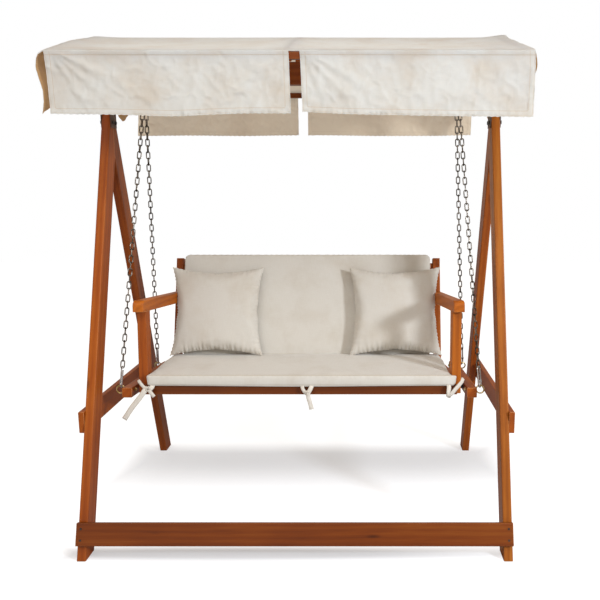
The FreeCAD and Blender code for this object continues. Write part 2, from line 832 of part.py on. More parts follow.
for side, hand in SIDES:
    post = splayed(
        "arm_post", hand, "0", "arm_post_width",
        POST_FRONT, POST_REAR, "-side_rail_drop", ARM_LOW,
    )
    soften(post, "fine_round", along(Vector(0, 0, 1)))
    keep(post, f"arm_post_{side}", SEAT)

    rail_end = f"(back_face + side_rail_rise * {BACK_SLOPE} + arm_width)"
    rail = splayed(
        "side_rail", hand, "0", "side_rail_thick",
        POST_REAR, rail_end, "-side_rail_drop", "side_rail_rise",
    )
    trim_to_back(rail, "-side_rail_drop", "side_rail_rise")
    soften(rail, "fine_round", longest(4)(rail))
    keep(rail, f"seat_side_rail_{side}", SEAT)

    arm_end = f"(back_face + arm_top * {BACK_SLOPE} + arm_width)"
    arm = splayed("arm", hand, "arm_outset", "arm_width", ARM_FRONT, arm_end, ARM_LOW, "arm_top")
    trim_to_back(arm, ARM_LOW, "arm_top")
    soften(arm, "arm_nose", top_nose)
    soften(arm, "wood_round", arm_long_edges)
    keep(arm, f"armrest_{side}", SEAT)


# Back frame

BACK_HALF = f"({side_face('back_face')} - back_post_width)"
BACK_RAIL_TOP = "(back_post_top - back_rail_drop)"

for side, hand in SIDES:
    start = mirror_start(hand, BACK_HALF, "back_post_width")
    back_post = rounded_bar(
        "back_post",
        (start, "0", "-back_post_foot"),
        (f"{start} + back_post_width", "back_post_depth", "back_post_top"),
        "fine_round", "z",
    )
    keep(back_post, f"back_post_{side}", BACK)


def back_rail(low):
    """Between the back posts, behind the slats."""
    return rounded_bar(
        "back_rail",
        (f"-{BACK_HALF}", "back_slat_thick", low),
        (BACK_HALF, "back_slat_thick + back_rail_thick", f"{low} + back_rail_height"),
        "fine_round", "x",
    )


together("back_rails", [back_rail("back_rail_low"), back_rail(f"{BACK_RAIL_TOP} - back_rail_height")], BACK)


def back_slat(k):
    pitch = f"(2 * {BACK_HALF} / back_slat_count)"
    middle = f"({pitch} * ({k} + 0.5) - {BACK_HALF})"
    low = (f"{middle} - back_slat_width / 2", "0", "back_rail_low")
    high = (f"{middle} + back_slat_width / 2", "back_slat_thick", BACK_RAIL_TOP)
    return bar("back_slat", low, high)


together("back_slats", [back_slat(k) for k in range(int(num("back_slat_count")))], BACK)


# Bearers, with the spacers and screws that hold the seat frame off them

BEARER_INNER = f"({SEAT_HALF} + bearer_gap)"
BEARER_OUTER = f"({BEARER_INNER} + bearer_size)"
SCREW_DEPTHS = ("bearer_screw_front", "bearer_screw_rear")
RING_DEPTHS = {"front": "-ring_front", "rear": "ring_rear"}

for side, hand in SIDES:
    start = mirror_start(hand, BEARER_INNER, "bearer_size")
    bearer = rounded_bar(
        "bearer",
        (start, "-bearer_front", "bearer_top - bearer_size"),
        (f"{start} + bearer_size", "bearer_rear", "bearer_top"),
        "fine_round", "y",
    )
    rings = [(depth, "ring_height") for depth in RING_DEPTHS.values()]
    drill(bearer, "YZ_Plane", rings, "ring_shank_radius + hole_clearance")
    screws = [(depth, "bearer_screw_height") for depth in SCREW_DEPTHS]
    drill(bearer, "YZ_Plane", screws, "bearer_screw_radius + hole_clearance")
    keep(bearer, f"bearer_{side}", SEAT)


def spacer_start(depth):
    """Outermost point of the seat's side that a spacer's end meets."""
    return f"({side_face(f'({depth} - spacer_radius)')})"


def spacer(hand, depth):
    axis = Vector(hand, 0, 0)
    foot = Vector(hand * num(spacer_start(depth)), num(depth), num("bearer_screw_height"))
    length = num(f"{BEARER_INNER} - {spacer_start(depth)}")
    bore = rod(foot, axis, length, num("bearer_screw_radius + hole_clearance"))
    return rod(foot, axis, length, num("spacer_radius")).cut(bore)


def bearer_screw(hand, depth):
    axis = Vector(-hand, 0, 0)
    seat = Vector(hand * num(BEARER_OUTER), num(depth), num("bearer_screw_height"))
    length = num(f"{BEARER_OUTER} - {spacer_start(depth)} + bearer_screw_bite")
    shank = rod(seat, axis, length, num("bearer_screw_radius"))
    return shank.fuse(rod(seat, axis * -1, num("bolt_head_height"), num("bolt_head_radius")))


feature("bearer_spacers", [spacer(hand, depth) for side, hand in SIDES for depth in SCREW_DEPTHS], SEAT)
feature("bearer_screws", [bearer_screw(hand, depth) for side, hand in SIDES for depth in SCREW_DEPTHS], SEAT)


# Where each chain starts and ends

RING_OUT = f"({BEARER_OUTER} + ring_radius + ring_wire_radius)"
LINK_GAP = num("link_gap")
LINK_RADIUS = num("chain_wire_radius")
HOOK_RADIUS = num("hook_wire_radius")
seat_frame = FreeCAD.Placement(
    Vector(0, num("seat_shift"), num("seat_height")),
    FreeCAD.Rotation(Vector(1, 0, 0), -num("seat_tilt")),
)


def ring_middle(end, hand):
    """Middle of a ring, in the seat before it is tilted."""
    return Vector(hand * num(RING_OUT), num(RING_DEPTHS[end]), num("ring_height"))


def bow_middle(end, hand):
    """Middle of the shackle's wire where a chain hangs in its bow."""
    spread = num("chain_spread") * (1 if end == "front" else -1)
    drop = math.sqrt(num("shackle_half_width") ** 2 - spread ** 2)
    across = hand * (num(HANGER_HALF) + spread)
    return Vector(across, 0, num(f"{SWING_AXIS} - shackle_leg") - drop)


# Ring eyes in the bearers

def ring_eye(end, hand):
    """A ring turned into line with its chain, on a shank through the bearer."""
    axis = Vector(-hand, 0, 0)
    middle = ring_middle(end, hand)
    chain_line = seat_frame.inverse().multVec(bow_middle(end, hand)) - middle
    facing = chain_line.cross(axis).normalize()
    ring = Part.makeTorus(num("ring_radius"), num("ring_wire_radius"), middle, facing)
    inner = num(f"{BEARER_INNER} - ring_nut_height - shank_end / 2")
    root = middle + axis * num("ring_radius")
    shank = rod(root, axis, hand * root.x - inner, num("ring_shank_radius"))
    return ring.fuse(shank)


def ring_nut(end, hand):
    axis = Vector(-hand, 0, 0)
    middle = ring_middle(end, hand)
    seat = Vector(hand * num(BEARER_INNER), middle.y, middle.z)
    bore = rod(seat, axis, num("ring_nut_height"), num("ring_shank_radius + hole_clearance"))
    return hexagon(seat, axis, num("ring_nut_radius"), num("ring_nut_height")).cut(bore)


RING_PLACES = [(end, hand) for end in RING_DEPTHS for side, hand in SIDES]
feature("ring_eyes", [ring_eye(end, hand) for end, hand in RING_PLACES], SEAT)
feature("ring_nuts", [ring_nut(end, hand) for end, hand in RING_PLACES], SEAT)


# Shackles, whose pins turn in the beam eyes

def shackle(hand):
    middle = Vector(hand * num(HANGER_HALF), 0, num(SWING_AXIS))
    half = num("shackle_half_width")
    across = Vector(1, 0, 0)
    centre = middle - Vector(0, 0, num("shackle_leg"))
    ends = [centre - across * half, centre + across * half]
    path = [
        line(middle - across * half, ends[0]),
        arc(ends[0], centre - Vector(0, 0, half), ends[1]),
        line(ends[1], middle + across * half),
    ]
    wire = wire_rod(path, num("shackle_wire_radius"))
    thick = num("shackle_ear_thick")
    ears = [
        rod(middle + across * (place * half - thick / 2), across, thick, num("shackle_ear_radius"))
        for place in (-1, 1)
    ]
    reach = half + thick
    pin = rod(middle - across * reach, across, 2 * reach, num("shackle_pin_radius"))
    outward = across * hand
    head = rod(middle + outward * reach, outward, num("bolt_head_height"), num("bolt_head_radius"))
    return wire.fuse(ears + [pin, head])


feature("shackles", [shackle(hand) for side, hand in SIDES])


# Chains and snap hooks, from each ring up to its shackle

def frame_along(at, up, across):
    """A placement whose Z runs along a line and whose X lies as near as it can to a direction."""
    across = (across - up * across.dot(up)).normalize()
    turn = FreeCAD.Rotation(across, up.cross(across), up, "ZXY")
    return FreeCAD.Placement(at, turn)


def chain_link(pitch):
    """One link in the XZ plane, centred, with its long axis along Z."""
    half = num("chain_link_half")
    length = pitch + 2 * LINK_RADIUS + LINK_GAP
    rise = length / 2 - half
    corner = [Vector(half, 0, -rise), Vector(half, 0, rise), Vector(-half, 0, rise), Vector(-half, 0, -rise)]
    path = [
        line(corner[0], corner[1]),
        arc(corner[1], Vector(0, 0, rise + half), corner[2]),
        line(corner[2], corner[3]),
        arc(corner[3], Vector(0, 0, -rise - half), corner[0]),
    ]
    return wire_rod(path, LINK_RADIUS)


def snap_hook():
    """A bent wire hook in the XZ plane, its lowest bend at the origin, with the pin of its gate."""
    bend = num("hook_bend")
    top = num("hook_length") - bend
    stub = bend + num("gate_stub")
    path = [
        line(Vector(bend, 0, stub), Vector(bend, 0, bend)),
        arc(Vector(bend, 0, bend), Vector(0, 0, 0), Vector(-bend, 0, bend)),
        line(Vector(-bend, 0, bend), Vector(-bend, 0, top)),
        arc(Vector(-bend, 0, top), Vector(0, 0, top + bend), Vector(bend, 0, top)),
    ]
    wire = wire_rod(path, HOOK_RADIUS)
    thick = num("gate_tongue")
    reach = num("gate_tongue_reach")
    pivot = Vector(bend, 0, bend + num("gate_pivot_rise"))
    tongue = Part.makeBox(2 * reach, thick, pivot.z - bend, Vector(bend - reach, -thick / 2, bend))
    knuckle = rod(pivot - Vector(0, thick / 2, 0), Vector(0, 1, 0), thick, reach)
    half = num("gate_lug_half")
    pin = rod(pivot - Vector(0, half, 0), Vector(0, 1, 0), 2 * half, num("gate_pin_radius"))
    return wire.fuse([tongue, knuckle, pin])


def snap_gate():
    """The gate that closes a hook's open side: a stem on a lug that forks around the hook's tongue."""
    bend = num("hook_bend")
    pivot = Vector(bend, 0, bend + num("gate_pivot_rise"))
    radius = num("gate_knuckle_radius")
    half = num("gate_lug_half")
    slot = num("gate_slot")
    reach = num("gate_slot_reach")
    rise = reach + num("gate_lug_cap")
    tip = num("hook_length") - bend - num("gate_tip_gap")
    face = pivot - Vector(0, half, 0)
    corners = [(radius, 0), (radius, rise), (-radius, rise), (-radius, 0)]
    corners = [face + Vector(across, 0, up) for across, up in corners]
    edges = [line(corners[k], corners[k + 1]) for k in range(3)]
    edges.append(arc(corners[3], face - Vector(0, 0, radius), corners[0]))
    lug = Part.Face(Part.Wire(edges)).extrude(Vector(0, 2 * half, 0))
    corner = pivot - Vector(2 * radius, slot / 2, 2 * radius)
    opening = Part.makeBox(4 * radius, slot, reach + 2 * radius, corner)
    bore = rod(face, Vector(0, 1, 0), 2 * half, num("gate_pin_radius + pin_clearance"))
    foot = pivot + Vector(0, 0, rise)
    stem = rod(foot, Vector(0, 0, 1), tip - foot.z, HOOK_RADIUS)
    return lug.cut(opening).cut(bore).fuse(stem)


QUARTER_TURN = 90


def link_step(count, lead):
    """Turn from link to link: a quarter, trimmed so that the last link ends at the lead angle."""
    last = count - 1
    spare = (lead - last * QUARTER_TURN + QUARTER_TURN) % (2 * QUARTER_TURN) - QUARTER_TURN
    return QUARTER_TURN + spare / last


def hang(end, side, hand):
    """Hook, gate and chain between one ring and its shackle, as placed solids."""
    ring = seat_frame.multVec(ring_middle(end, hand))
    bow = bow_middle(end, hand)
    up = (bow - ring).normalize()

    hook_foot = num("ring_radius - ring_wire_radius") - HOOK_RADIUS - LINK_GAP
    turn = math.radians(num("hook_turn"))
    across = Vector(hand * math.cos(turn), math.sin(turn), 0)
    hook_place = frame_along(ring + up * hook_foot, up, across)

    first_bend = hook_foot + num("hook_length") - HOOK_RADIUS - LINK_RADIUS - LINK_GAP
    last_bend = (bow - ring).Length + num("shackle_wire_radius + bow_gap") + LINK_RADIUS
    run = last_bend - first_bend - 2 * LINK_RADIUS - LINK_GAP
    count = round(run / num("chain_pitch"))
    pitch = run / count
    link = chain_link(pitch)
    lowest = frame_along(ring, up, hook_place.Rotation.multVec(Vector(0, 1, 0))).Rotation
    highest = frame_along(ring, up, Vector(0, 1, 0)).Rotation
    lead = lowest.inverted().multVec(highest.multVec(Vector(1, 0, 0)))
    step = link_step(count, math.degrees(math.atan2(lead.y, lead.x)))
    links = []
    for k in range(count):
        at = ring + up * (first_bend + LINK_RADIUS + LINK_GAP / 2 + (k + 0.5) * pitch)
        solid = link.copy()
        solid.Placement = FreeCAD.Placement(at, lowest.multiply(FreeCAD.Rotation(Vector(0, 0, 1), k * step)))
        links.append(solid)

    hook = snap_hook()
    hook.Placement = hook_place
    gate = snap_gate()
    gate.Placement = hook_place
    pivot = hook_place.multVec(Vector(num("hook_bend"), 0, num("hook_bend + gate_pivot_rise")))
    axis = hook_place.Rotation.multVec(Vector(0, -1, 0))
    metres = [round(v / 1000, 6) for v in pivot]
    print(f"gate {end}_{side}: pivot", metres, "axis", [round(v, 6) for v in axis])
    print(f"chain {end}_{side}: {count} links, pitch {pitch:.3f}")
    return hook, gate, links


hooks = []
for end, sign in ENDS:
    for side, hand in SIDES:
        hook, gate, links = hang(end, side, hand)
        hooks.append(hook)
        feature(f"snap_gate_{end}_{side}", [gate])
        feature(f"chain_{end}_{side}", links)
feature("snap_hooks", hooks)


# Cushions and pillows, as plain closed solids

PAD_REAR = "(back_face - seat_pad_rear_gap)"


def pad_side(depth):
    return f"({side_face(depth)} - arm_post_width - seat_pad_side_gap)"


pad_outline = [
    (f"-{pad_side('-seat_pad_front')}", "-seat_pad_front"),
    (pad_side("-seat_pad_front"), "-seat_pad_front"),
    (pad_side(PAD_REAR), PAD_REAR),
    (f"-{pad_side(PAD_REAR)}", PAD_REAR),
]
seat_pad = prism("seat_pad", "XY_Plane", pad_outline, "soft_gap", "seat_pad_thick")
soften(seat_pad, "seat_pad_corner", along(Vector(0, 0, 1)))
pad_top = num("soft_gap + seat_pad_thick")
soften(seat_pad, "seat_pad_round", lambda edge: edge.BoundBox.ZMin > pad_top - NEAR)
keep(seat_pad, "seat_cushion", SEAT)

BACK_PAD_HALF = f"({BACK_HALF} - back_pad_side_gap)"
BACK_PAD_TOP = "(back_post_top + back_pad_rise)"
back_outline = rectangle((f"-{BACK_PAD_HALF}", "back_pad_low"), (BACK_PAD_HALF, BACK_PAD_TOP))
back_pad = prism("back_pad", "XZ_Plane", back_outline, "-soft_gap", "back_pad_thick")
soften(back_pad, "back_pad_corner", along(Vector(0, 1, 0)))
pad_face = num("-soft_gap - back_pad_thick")
soften(back_pad, "back_pad_round", lambda edge: edge.BoundBox.YMax < pad_face + NEAR)
keep(back_pad, "back_cushion", BACK)

PILLOW_BACK = "(-2 * soft_gap - back_pad_thick)"
for side, hand in SIDES:
    middle = f"({hand} * ({BACK_HALF} - pillow_side_gap - pillow_width / 2))"
    outline = rectangle(
        (f"{middle} - pillow_width / 2", "pillow_low"),
        (f"{middle} + pillow_width / 2", "pillow_low + pillow_height"),
    )
    pillow = prism("pillow", "XZ_Plane", outline, PILLOW_BACK, "pillow_thick")
    soften(pillow, "pillow_corner", along(Vector(0, 1, 0)))
    rear = num(PILLOW_BACK) - NEAR
    front = num(f"{PILLOW_BACK} - pillow_thick") + NEAR
    soften(pillow, "pillow_round", lambda edge: edge.BoundBox.YMin > rear or edge.BoundBox.YMax < front)
    keep(pillow, f"pillow_{side}", BACK)


# Ties of the seat cushion, knotted in front of the front rail

def tail(knot, angle, length):
    """A flat tail that leaves a knot at an angle from straight down, towards +X."""
    width = num("tie_width")
    strip = Part.makeBox(width, num("tie_thick"), length, Vector(-width / 2, 0, -length))
    strip.Placement = FreeCAD.Placement(knot, FreeCAD.Rotation(Vector(0, 1, 0), -angle))
    return strip


def tie(across, tails):
    size = num("tie_knot")
    face = -num("seat_front + tie_knot + soft_gap")
    corner = Vector(across - size / 2, face, -size - num("soft_gap"))
    knot = Part.makeBox(size, size, size, corner)
    knot = knot.makeFillet(num("tie_knot / 4"), knot.Edges)
    root = corner + Vector(size / 2, size / 2, size / 2)
    return knot.fuse([tail(root, angle, length) for angle, length in tails])


tie_side = num(f"{FRONT_RAIL_HALF} - tie_inset")
tie_angle = num("tie_tail_angle")
tie_long = num("tie_tail")
tie_short = num("tie_short_tail")
feature("cushion_ties", [
    tie(-tie_side, [(-tie_angle, tie_long), (tie_angle, tie_short / 2)]),
    tie(0, [(tie_angle / 2, tie_short)]),
    tie(tie_side, [(tie_angle / 2, tie_short / 2)]),
], SEAT)


# Writing the solids, once everything is sound

doc.recompute()
for item in doc.Objects:
    assert not {"Invalid", "Error"} & set(item.State), f"{item.Label}: {item.State}"
os.makedirs("parts", exist_ok=True)
for piece in nodes:
    shape = piece.Shape
    assert not shape.isNull() and shape.isValid(), piece.Label + ": no sound shape"
    assert len(shape.Solids) >= 1, piece.Label + ": no solid"
for piece in nodes:
    piece.Shape.exportStep(f"parts/{piece.Label}.step")
print(len(nodes), "nodes,", sum(len(piece.Shape.Solids) for piece in nodes), "solids")
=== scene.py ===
# %% [markdown]
# # A canopy garden swing, dressed in Blender
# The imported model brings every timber, bolt and chain link, already in its place and in
# metres: +X is to the right, +Y to the back and +Z up, with the ground at height 0.
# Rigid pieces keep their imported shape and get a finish. Everything sewn is made anew here:
# the canopy, the two long cushions, the loose pillows and the ties.

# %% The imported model
import itertools
import json
import math
import bpy
import numpy as np
from mathutils import Matrix, Vector, noise


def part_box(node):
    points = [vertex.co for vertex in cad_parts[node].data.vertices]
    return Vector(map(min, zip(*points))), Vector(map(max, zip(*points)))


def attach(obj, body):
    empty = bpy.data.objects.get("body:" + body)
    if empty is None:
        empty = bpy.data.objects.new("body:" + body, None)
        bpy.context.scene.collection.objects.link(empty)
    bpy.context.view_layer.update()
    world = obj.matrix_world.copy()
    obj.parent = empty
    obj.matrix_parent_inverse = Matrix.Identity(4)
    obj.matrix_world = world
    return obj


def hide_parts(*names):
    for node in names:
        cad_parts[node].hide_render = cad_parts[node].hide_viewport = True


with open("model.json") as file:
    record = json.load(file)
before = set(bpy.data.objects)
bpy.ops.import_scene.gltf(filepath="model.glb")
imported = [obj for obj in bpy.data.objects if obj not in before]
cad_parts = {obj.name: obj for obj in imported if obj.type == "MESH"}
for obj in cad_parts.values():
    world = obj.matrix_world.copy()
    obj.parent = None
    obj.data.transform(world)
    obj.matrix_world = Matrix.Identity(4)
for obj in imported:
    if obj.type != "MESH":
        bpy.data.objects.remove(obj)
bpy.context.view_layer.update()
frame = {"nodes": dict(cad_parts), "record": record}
nodes = frame["nodes"]

# %% [markdown]
# ## Camera
# The picture was taken from chest height, right of the middle, and looks down by ten
# degrees. The lens and the sideways shift were found by matching the corners of the legs,
# the beam and the seat, so a piece that is in place also lands on its pixel.


# %% Camera
def link(obj):
    bpy.context.scene.collection.objects.link(obj)


camera = bpy.data.objects.new("camera", bpy.data.cameras.new("camera"))
link(camera)
camera.location = (0.2546, -2.8756, 1.4122)
camera.rotation_euler = (math.pi / 2 - 0.1746, 0, 0)
camera.data.lens = 39.84
camera.data.sensor_width = 36
camera.data.shift_x = -0.1035
bpy.context.scene.camera = camera
bpy.context.scene.view_settings.view_transform = "Standard"
print("camera at", tuple(round(c, 2) for c in camera.location))

# %% [markdown]
# ## Light and floor
# A small, slightly cool softbox at the front right throws the soft shadow of the right pillow.
# A wide one above the camera looks in under the canopy and lights the seat, and a low one fills
# from the front left. The world is white to the camera and a soft warm light to the rest. The
# floor adds light of its own for the camera, so that open floor turns white. It adds less in a
# wide band behind the seat and in a strip along the front stretcher, which paints a shadow there.


# %% Helpers for nodes
def tree_of(block):
    block.use_nodes = True
    block.node_tree.nodes.clear()
    return block.node_tree


def node(tree, kind, inputs=None, **settings):
    made = tree.nodes.new("ShaderNode" + kind)
    for name, value in settings.items():
        setattr(made, name, value)
    for name, value in (inputs or {}).items():
        if isinstance(value, bpy.types.NodeSocket):
            tree.links.new(value, made.inputs[name])
        else:
            made.inputs[name].default_value = value
    return made


def math_node(tree, operation, first, second=0.0, clamp=False):
    made = node(tree, "Math", {0: first, 1: second}, operation=operation, use_clamp=clamp)
    return made.outputs[0]


def plus(tree, first, second):
    return math_node(tree, "ADD", first, second)


def times(tree, first, second):
    return math_node(tree, "MULTIPLY", first, second)


def remap(tree, value, low, high, to_low=0.0, to_high=1.0, **settings):
    """Takes the values between low and high to those between to_low and to_high."""
    return node(tree, "MapRange", {
        "Value": value, "From Min": low, "From Max": high, "To Min": to_low, "To Max": to_high,
    }, **settings).outputs[0]


def speckle(tree, place, scale, detail, **inputs):
    """A noise between 0 and 1."""
    inputs |= {"Vector": place, "Scale": scale, "Detail": detail}
    return node(tree, "TexNoise", inputs).outputs["Fac"]


def scaled(tree, place, scale):
    return node(tree, "Mapping", {"Vector": place, "Scale": scale}).outputs[0]


def blend(tree, share, first, second, how="MIX"):
    inputs = {0: share, 6: first, 7: second}
    return node(tree, "Mix", inputs, data_type="RGBA", blend_type=how).outputs[2]


def camera_ray(tree):
    path = node(tree, "LightPath").outputs
    return math_node(tree, "MAXIMUM", path["Is Camera Ray"], path["Is Transmission Ray"])


def srgb(red, green, blue):
    """A colour read off a screen, 0 to 255, as the linear colour that a shader takes."""
    def linear(c):
        c = c / 255
        return c / 12.92 if c <= 0.04045 else ((c + 0.055) / 1.055) ** 2.4
    return (linear(red), linear(green), linear(blue), 1)


print("a screen grey of 188 is", round(srgb(188, 188, 188)[0], 2), "in linear light")

# %% World
world = bpy.data.worlds.new("studio")
bpy.context.scene.world = world
tree = tree_of(world)
soft = node(tree, "Background", {"Color": (1.0, 0.89, 0.77, 1), "Strength": 0.58})
white = node(tree, "Background", {"Color": (1, 1, 1, 1), "Strength": 1.0})
mix = node(tree, "MixShader", {0: camera_ray(tree), 1: soft.outputs[0], 2: white.outputs[0]})
node(tree, "OutputWorld", {"Surface": mix.outputs[0]})
print("world made")


# %% Softboxes
def softbox(name, place, target, size, power, tint=(1, 1, 1)):
    light = bpy.data.lights.new(name, "AREA")
    light.shape = "RECTANGLE"
    light.size, light.size_y = size
    light.energy = power
    light.color = tint
    lamp = bpy.data.objects.new(name, light)
    link(lamp)
    lamp.location = place
    lamp.rotation_euler = (Vector(target) - Vector(place)).to_track_quat("-Z", "Y").to_euler()


softbox("key_right", (3.2, -2.7, 2.1), (0, 0, 0.9), (0.42, 0.42), 110, tint=(0.87, 0.93, 1.0))
softbox("fill_left", (-1.4, -3.8, 0.95), (0, 0.3, 1.1), (3.0, 1.5), 9)
softbox("front_top", (-0.5, -2.3, 3.5), (0, 0, 0.8), (2.4, 1.4), 44)
print("three softboxes")

# %% Floor
FLOOR_REACH = 7.0
SHADOW_LIFT, OPEN_LIFT = 0.38, 0.76
PAINTED_SHADOW_FRONT, PAINTED_SHADOW_BACK, PAINTED_SHADOW_SIDE = (0.38, -0.12), (0.43, 0.63), (0.84, 1.03)
PAINTED_STRIP_SCALE, PAINTED_STRIP_SHIFT, PAINTED_STRIP_END = (0.7, 14.0, 0), (0.18, 7.28, 0), (0.80, 0.93)
bpy.ops.mesh.primitive_plane_add(size=2 * FLOOR_REACH, location=(0, 2.0, 0))
floor = bpy.context.active_object
floor.name = "floor"
bpy.ops.object.transform_apply(location=True, rotation=True, scale=True)
pale = bpy.data.materials.new("pale_floor")
tree = tree_of(pale)
diffuse = node(tree, "BsdfDiffuse", {"Color": (0.53, 0.55, 0.585, 1)})
place = node(tree, "TexCoord").outputs["Object"]
ground = node(tree, "SeparateXYZ", {0: place}).outputs
sideways, back = math_node(tree, "ABSOLUTE", ground[0]), ground[1]
# painted shadow: the floor's own light for the camera is lowered in a wide band behind the seat
lift = 0.0
for value, (dark, light) in ((back, PAINTED_SHADOW_FRONT), (back, PAINTED_SHADOW_BACK), (sideways, PAINTED_SHADOW_SIDE)):
    fade = remap(tree, value, dark, light, SHADOW_LIFT, OPEN_LIFT, interpolation_type="SMOOTHSTEP")
    lift = math_node(tree, "MAXIMUM", lift, fade)
# painted shadow: a strip along the front stretcher where the floor's own light is lowered
strip = node(tree, "Mapping", {"Vector": place, "Scale": PAINTED_STRIP_SCALE, "Location": PAINTED_STRIP_SHIFT}).outputs[0]
off_painted_strip = node(tree, "VectorMath", {0: strip}, operation="LENGTH").outputs["Value"]
shade = remap(tree, off_painted_strip, 0.3, 1.0, 0.45, 1.0, interpolation_type="SMOOTHSTEP")
shade = math_node(tree, "MAXIMUM", shade, remap(tree, sideways, *PAINTED_STRIP_END))
lift = times(tree, lift, shade)
glow = node(tree, "Emission", {"Strength": times(tree, lift, camera_ray(tree))})
both = node(tree, "AddShader", {0: diffuse.outputs[0], 1: glow.outputs[0]})
node(tree, "OutputMaterial", {"Surface": both.outputs[0]})
floor.data.materials.append(pale)
print("floor made")

# %% [markdown]
# ## Stained wood
# Every timber is a light wood under an orange-brown stain with a satin varnish. A board has
# long fibres, so the pattern is stretched along it: a Mapping node first turns each timber's
# own direction onto X. Sawn rings give broad bands, a fine noise gives the fibres, and the
# eased edges, which the Bevel node finds on any shape, are painted lighter: partly stain rubbed
# off, partly a painted highlight.


# %% Wood finish
STAIN_DARK = srgb(118, 50, 6)
STAIN_MIDDLE = srgb(153, 73, 11)
STAIN_LIGHT = srgb(178, 98, 28)
# the colour of the eased edges: partly worn stain, partly a painted highlight
EDGE_WEAR_AND_HIGHLIGHT = srgb(216, 154, 100)
EDGE_ROUND = 0.005


def stained_wood(name, direction, middle, seed, tone):
    """Stain over wood whose fibres run along direction, centred on the middle of the timber.
    tone scales its red, green and blue, partly for the timber's own tone, partly as painted light and shade."""
    material = bpy.data.materials.new(name)
    tree = tree_of(material)
    turn = Vector(direction).normalized().rotation_difference(Vector((1, 0, 0)))
    centre = turn @ Vector(middle)
    place = node(tree, "TexCoord").outputs["Object"]
    turned = node(tree, "Mapping", {
        "Vector": place, "Rotation": turn.to_euler(),
        "Location": -centre + Vector((seed * 1.7, 0.045 + 0.006 * (seed % 5), 0.06)),
    }).outputs[0]
    rings = node(tree, "TexWave", {
        "Vector": scaled(tree, turned, (1.6, 15, 15)), "Scale": 0.9, "Distortion": 3.2,
        "Detail": 3.0, "Detail Scale": 0.8,
    }, wave_type="RINGS", rings_direction="X").outputs["Fac"]
    fibres = speckle(tree, scaled(tree, turned, (9, 420, 420)), 1.0, 4.0)
    patch_place = scaled(tree, turned, (2.2, 9, 9))
    patches = speckle(tree, patch_place, 1.0, 2.0)
    mixed = plus(tree, times(tree, rings, 0.12), times(tree, fibres, 0.40))
    mixed = plus(tree, mixed, times(tree, patches, 0.70))
    ramp = node(tree, "ValToRGB", {"Fac": mixed})
    steps = ramp.color_ramp.elements
    steps[0].position, steps[0].color = 0.38, STAIN_DARK
    steps[1].position, steps[1].color = 0.95, STAIN_LIGHT
    steps.new(0.66).color = STAIN_MIDDLE
    for step in steps:
        step.color = [t * c for t, c in zip(tone, step.color)] + [1]
    knots = node(tree, "TexVoronoi", {"Vector": patch_place, "Scale": 1.3}).outputs["Distance"]
    knots = remap(tree, knots, 0.02, 0.10, 0.45, 1.0)
    spotted = blend(tree, 1.0, ramp.outputs[0], knots, "MULTIPLY")
    rounded = node(tree, "Bevel", {"Radius": EDGE_ROUND}, samples=6).outputs[0]
    flat = node(tree, "NewGeometry").outputs["Normal"]
    agree = node(tree, "VectorMath", {0: rounded, 1: flat}, operation="DOT_PRODUCT").outputs["Value"]
    # painted highlight and wear: the eased edges are painted lighter, partly as stain rubbed off, partly as a
    # highlight
    wear_and_highlight = remap(tree, agree, 0.995, 0.86, 0.0, 0.85)
    wear_and_highlight = math_node(tree, "MULTIPLY", wear_and_highlight, plus(tree, patches, 0.25), clamp=True)
    bump = node(tree, "Bump", {
        "Height": fibres, "Strength": 0.10, "Distance": 0.0006, "Normal": rounded,
    }).outputs[0]
    shader = node(tree, "BsdfPrincipled", {
        "Base Color": blend(tree, wear_and_highlight, spotted, EDGE_WEAR_AND_HIGHLIGHT), "Normal": bump,
        "Roughness": remap(tree, fibres, 0.0, 1.0, 0.36, 0.52), "Specular IOR Level": 0.22,
        "Coat Weight": 0.04, "Coat Roughness": 0.25,
    })
    node(tree, "OutputMaterial", {"Surface": shader.outputs[0]})
    return material


print("stain, middle tone:", [round(c, 3) for c in STAIN_MIDDLE[:3]])

# %% Which way each timber runs
SEAT_TILT = math.radians(-4.4)
BACK_LEAN = math.radians(-16.9)
LEG_RUN = (0.572 - 0.044) / 1.768
ALONG_X, ALONG_Y, ALONG_Z = Vector((1, 0, 0)), Vector((0, 1, 0)), Vector((0, 0, 1))
seat_turn = Matrix.Rotation(SEAT_TILT, 3, "X")
back_turn = Matrix.Rotation(BACK_LEAN, 3, "X")
RUNS = {
    "side_braces": ALONG_Y, "canopy_arms": ALONG_Y, "canopy_rafters": ALONG_Y,
    "canopy_ridge_posts": ALONG_Z, "back_slats": back_turn @ ALONG_Z,
}
for hand in ("left", "right"):
    RUNS["front_leg_" + hand] = (0, LEG_RUN, 1)
    RUNS["rear_leg_" + hand] = (0, -LEG_RUN, 1)
    RUNS["back_post_" + hand] = back_turn @ ALONG_Z
    RUNS["arm_post_" + hand] = seat_turn @ ALONG_Z
    for timber in ("seat_side_rail_", "armrest_", "bearer_"):
        RUNS[timber + hand] = seat_turn @ ALONG_Y
# how much the red, green and blue of each timber's stain are scaled: painted shade on the eave
# rails and beam under the canopy and on the front rail under the cushion, painted cool light on
# the right-hand timbers toward the key light, and on the legs and stretcher partly their own
# tone, partly painted light and shade
TONES_AND_PAINTED_LIGHT = {
    "front_stretcher": (0.56, 0.54, 0.5), "seat_front_rail": (0.42, 0.42, 0.42),
    "front_leg_left": (0.98, 0.94, 0.8), "front_leg_right": (1.05, 1.4, 1.9),
    "rear_leg_left": (0.72, 0.7, 0.6), "rear_leg_right": (0.92, 0.95, 1.0),
    "arm_post_right": (1.3, 1.6, 2.0),
    "armrest_right": (1.35, 1.65, 1.9), "armrest_left": (1.45, 1.8, 2.0),
    "canopy_eave_rails": (0.55, 0.55, 0.55), "main_beam": (0.7, 0.7, 0.7),
}
slot_of = {row["node"]: row["material_slot"] for row in frame["record"]["subparts"]}


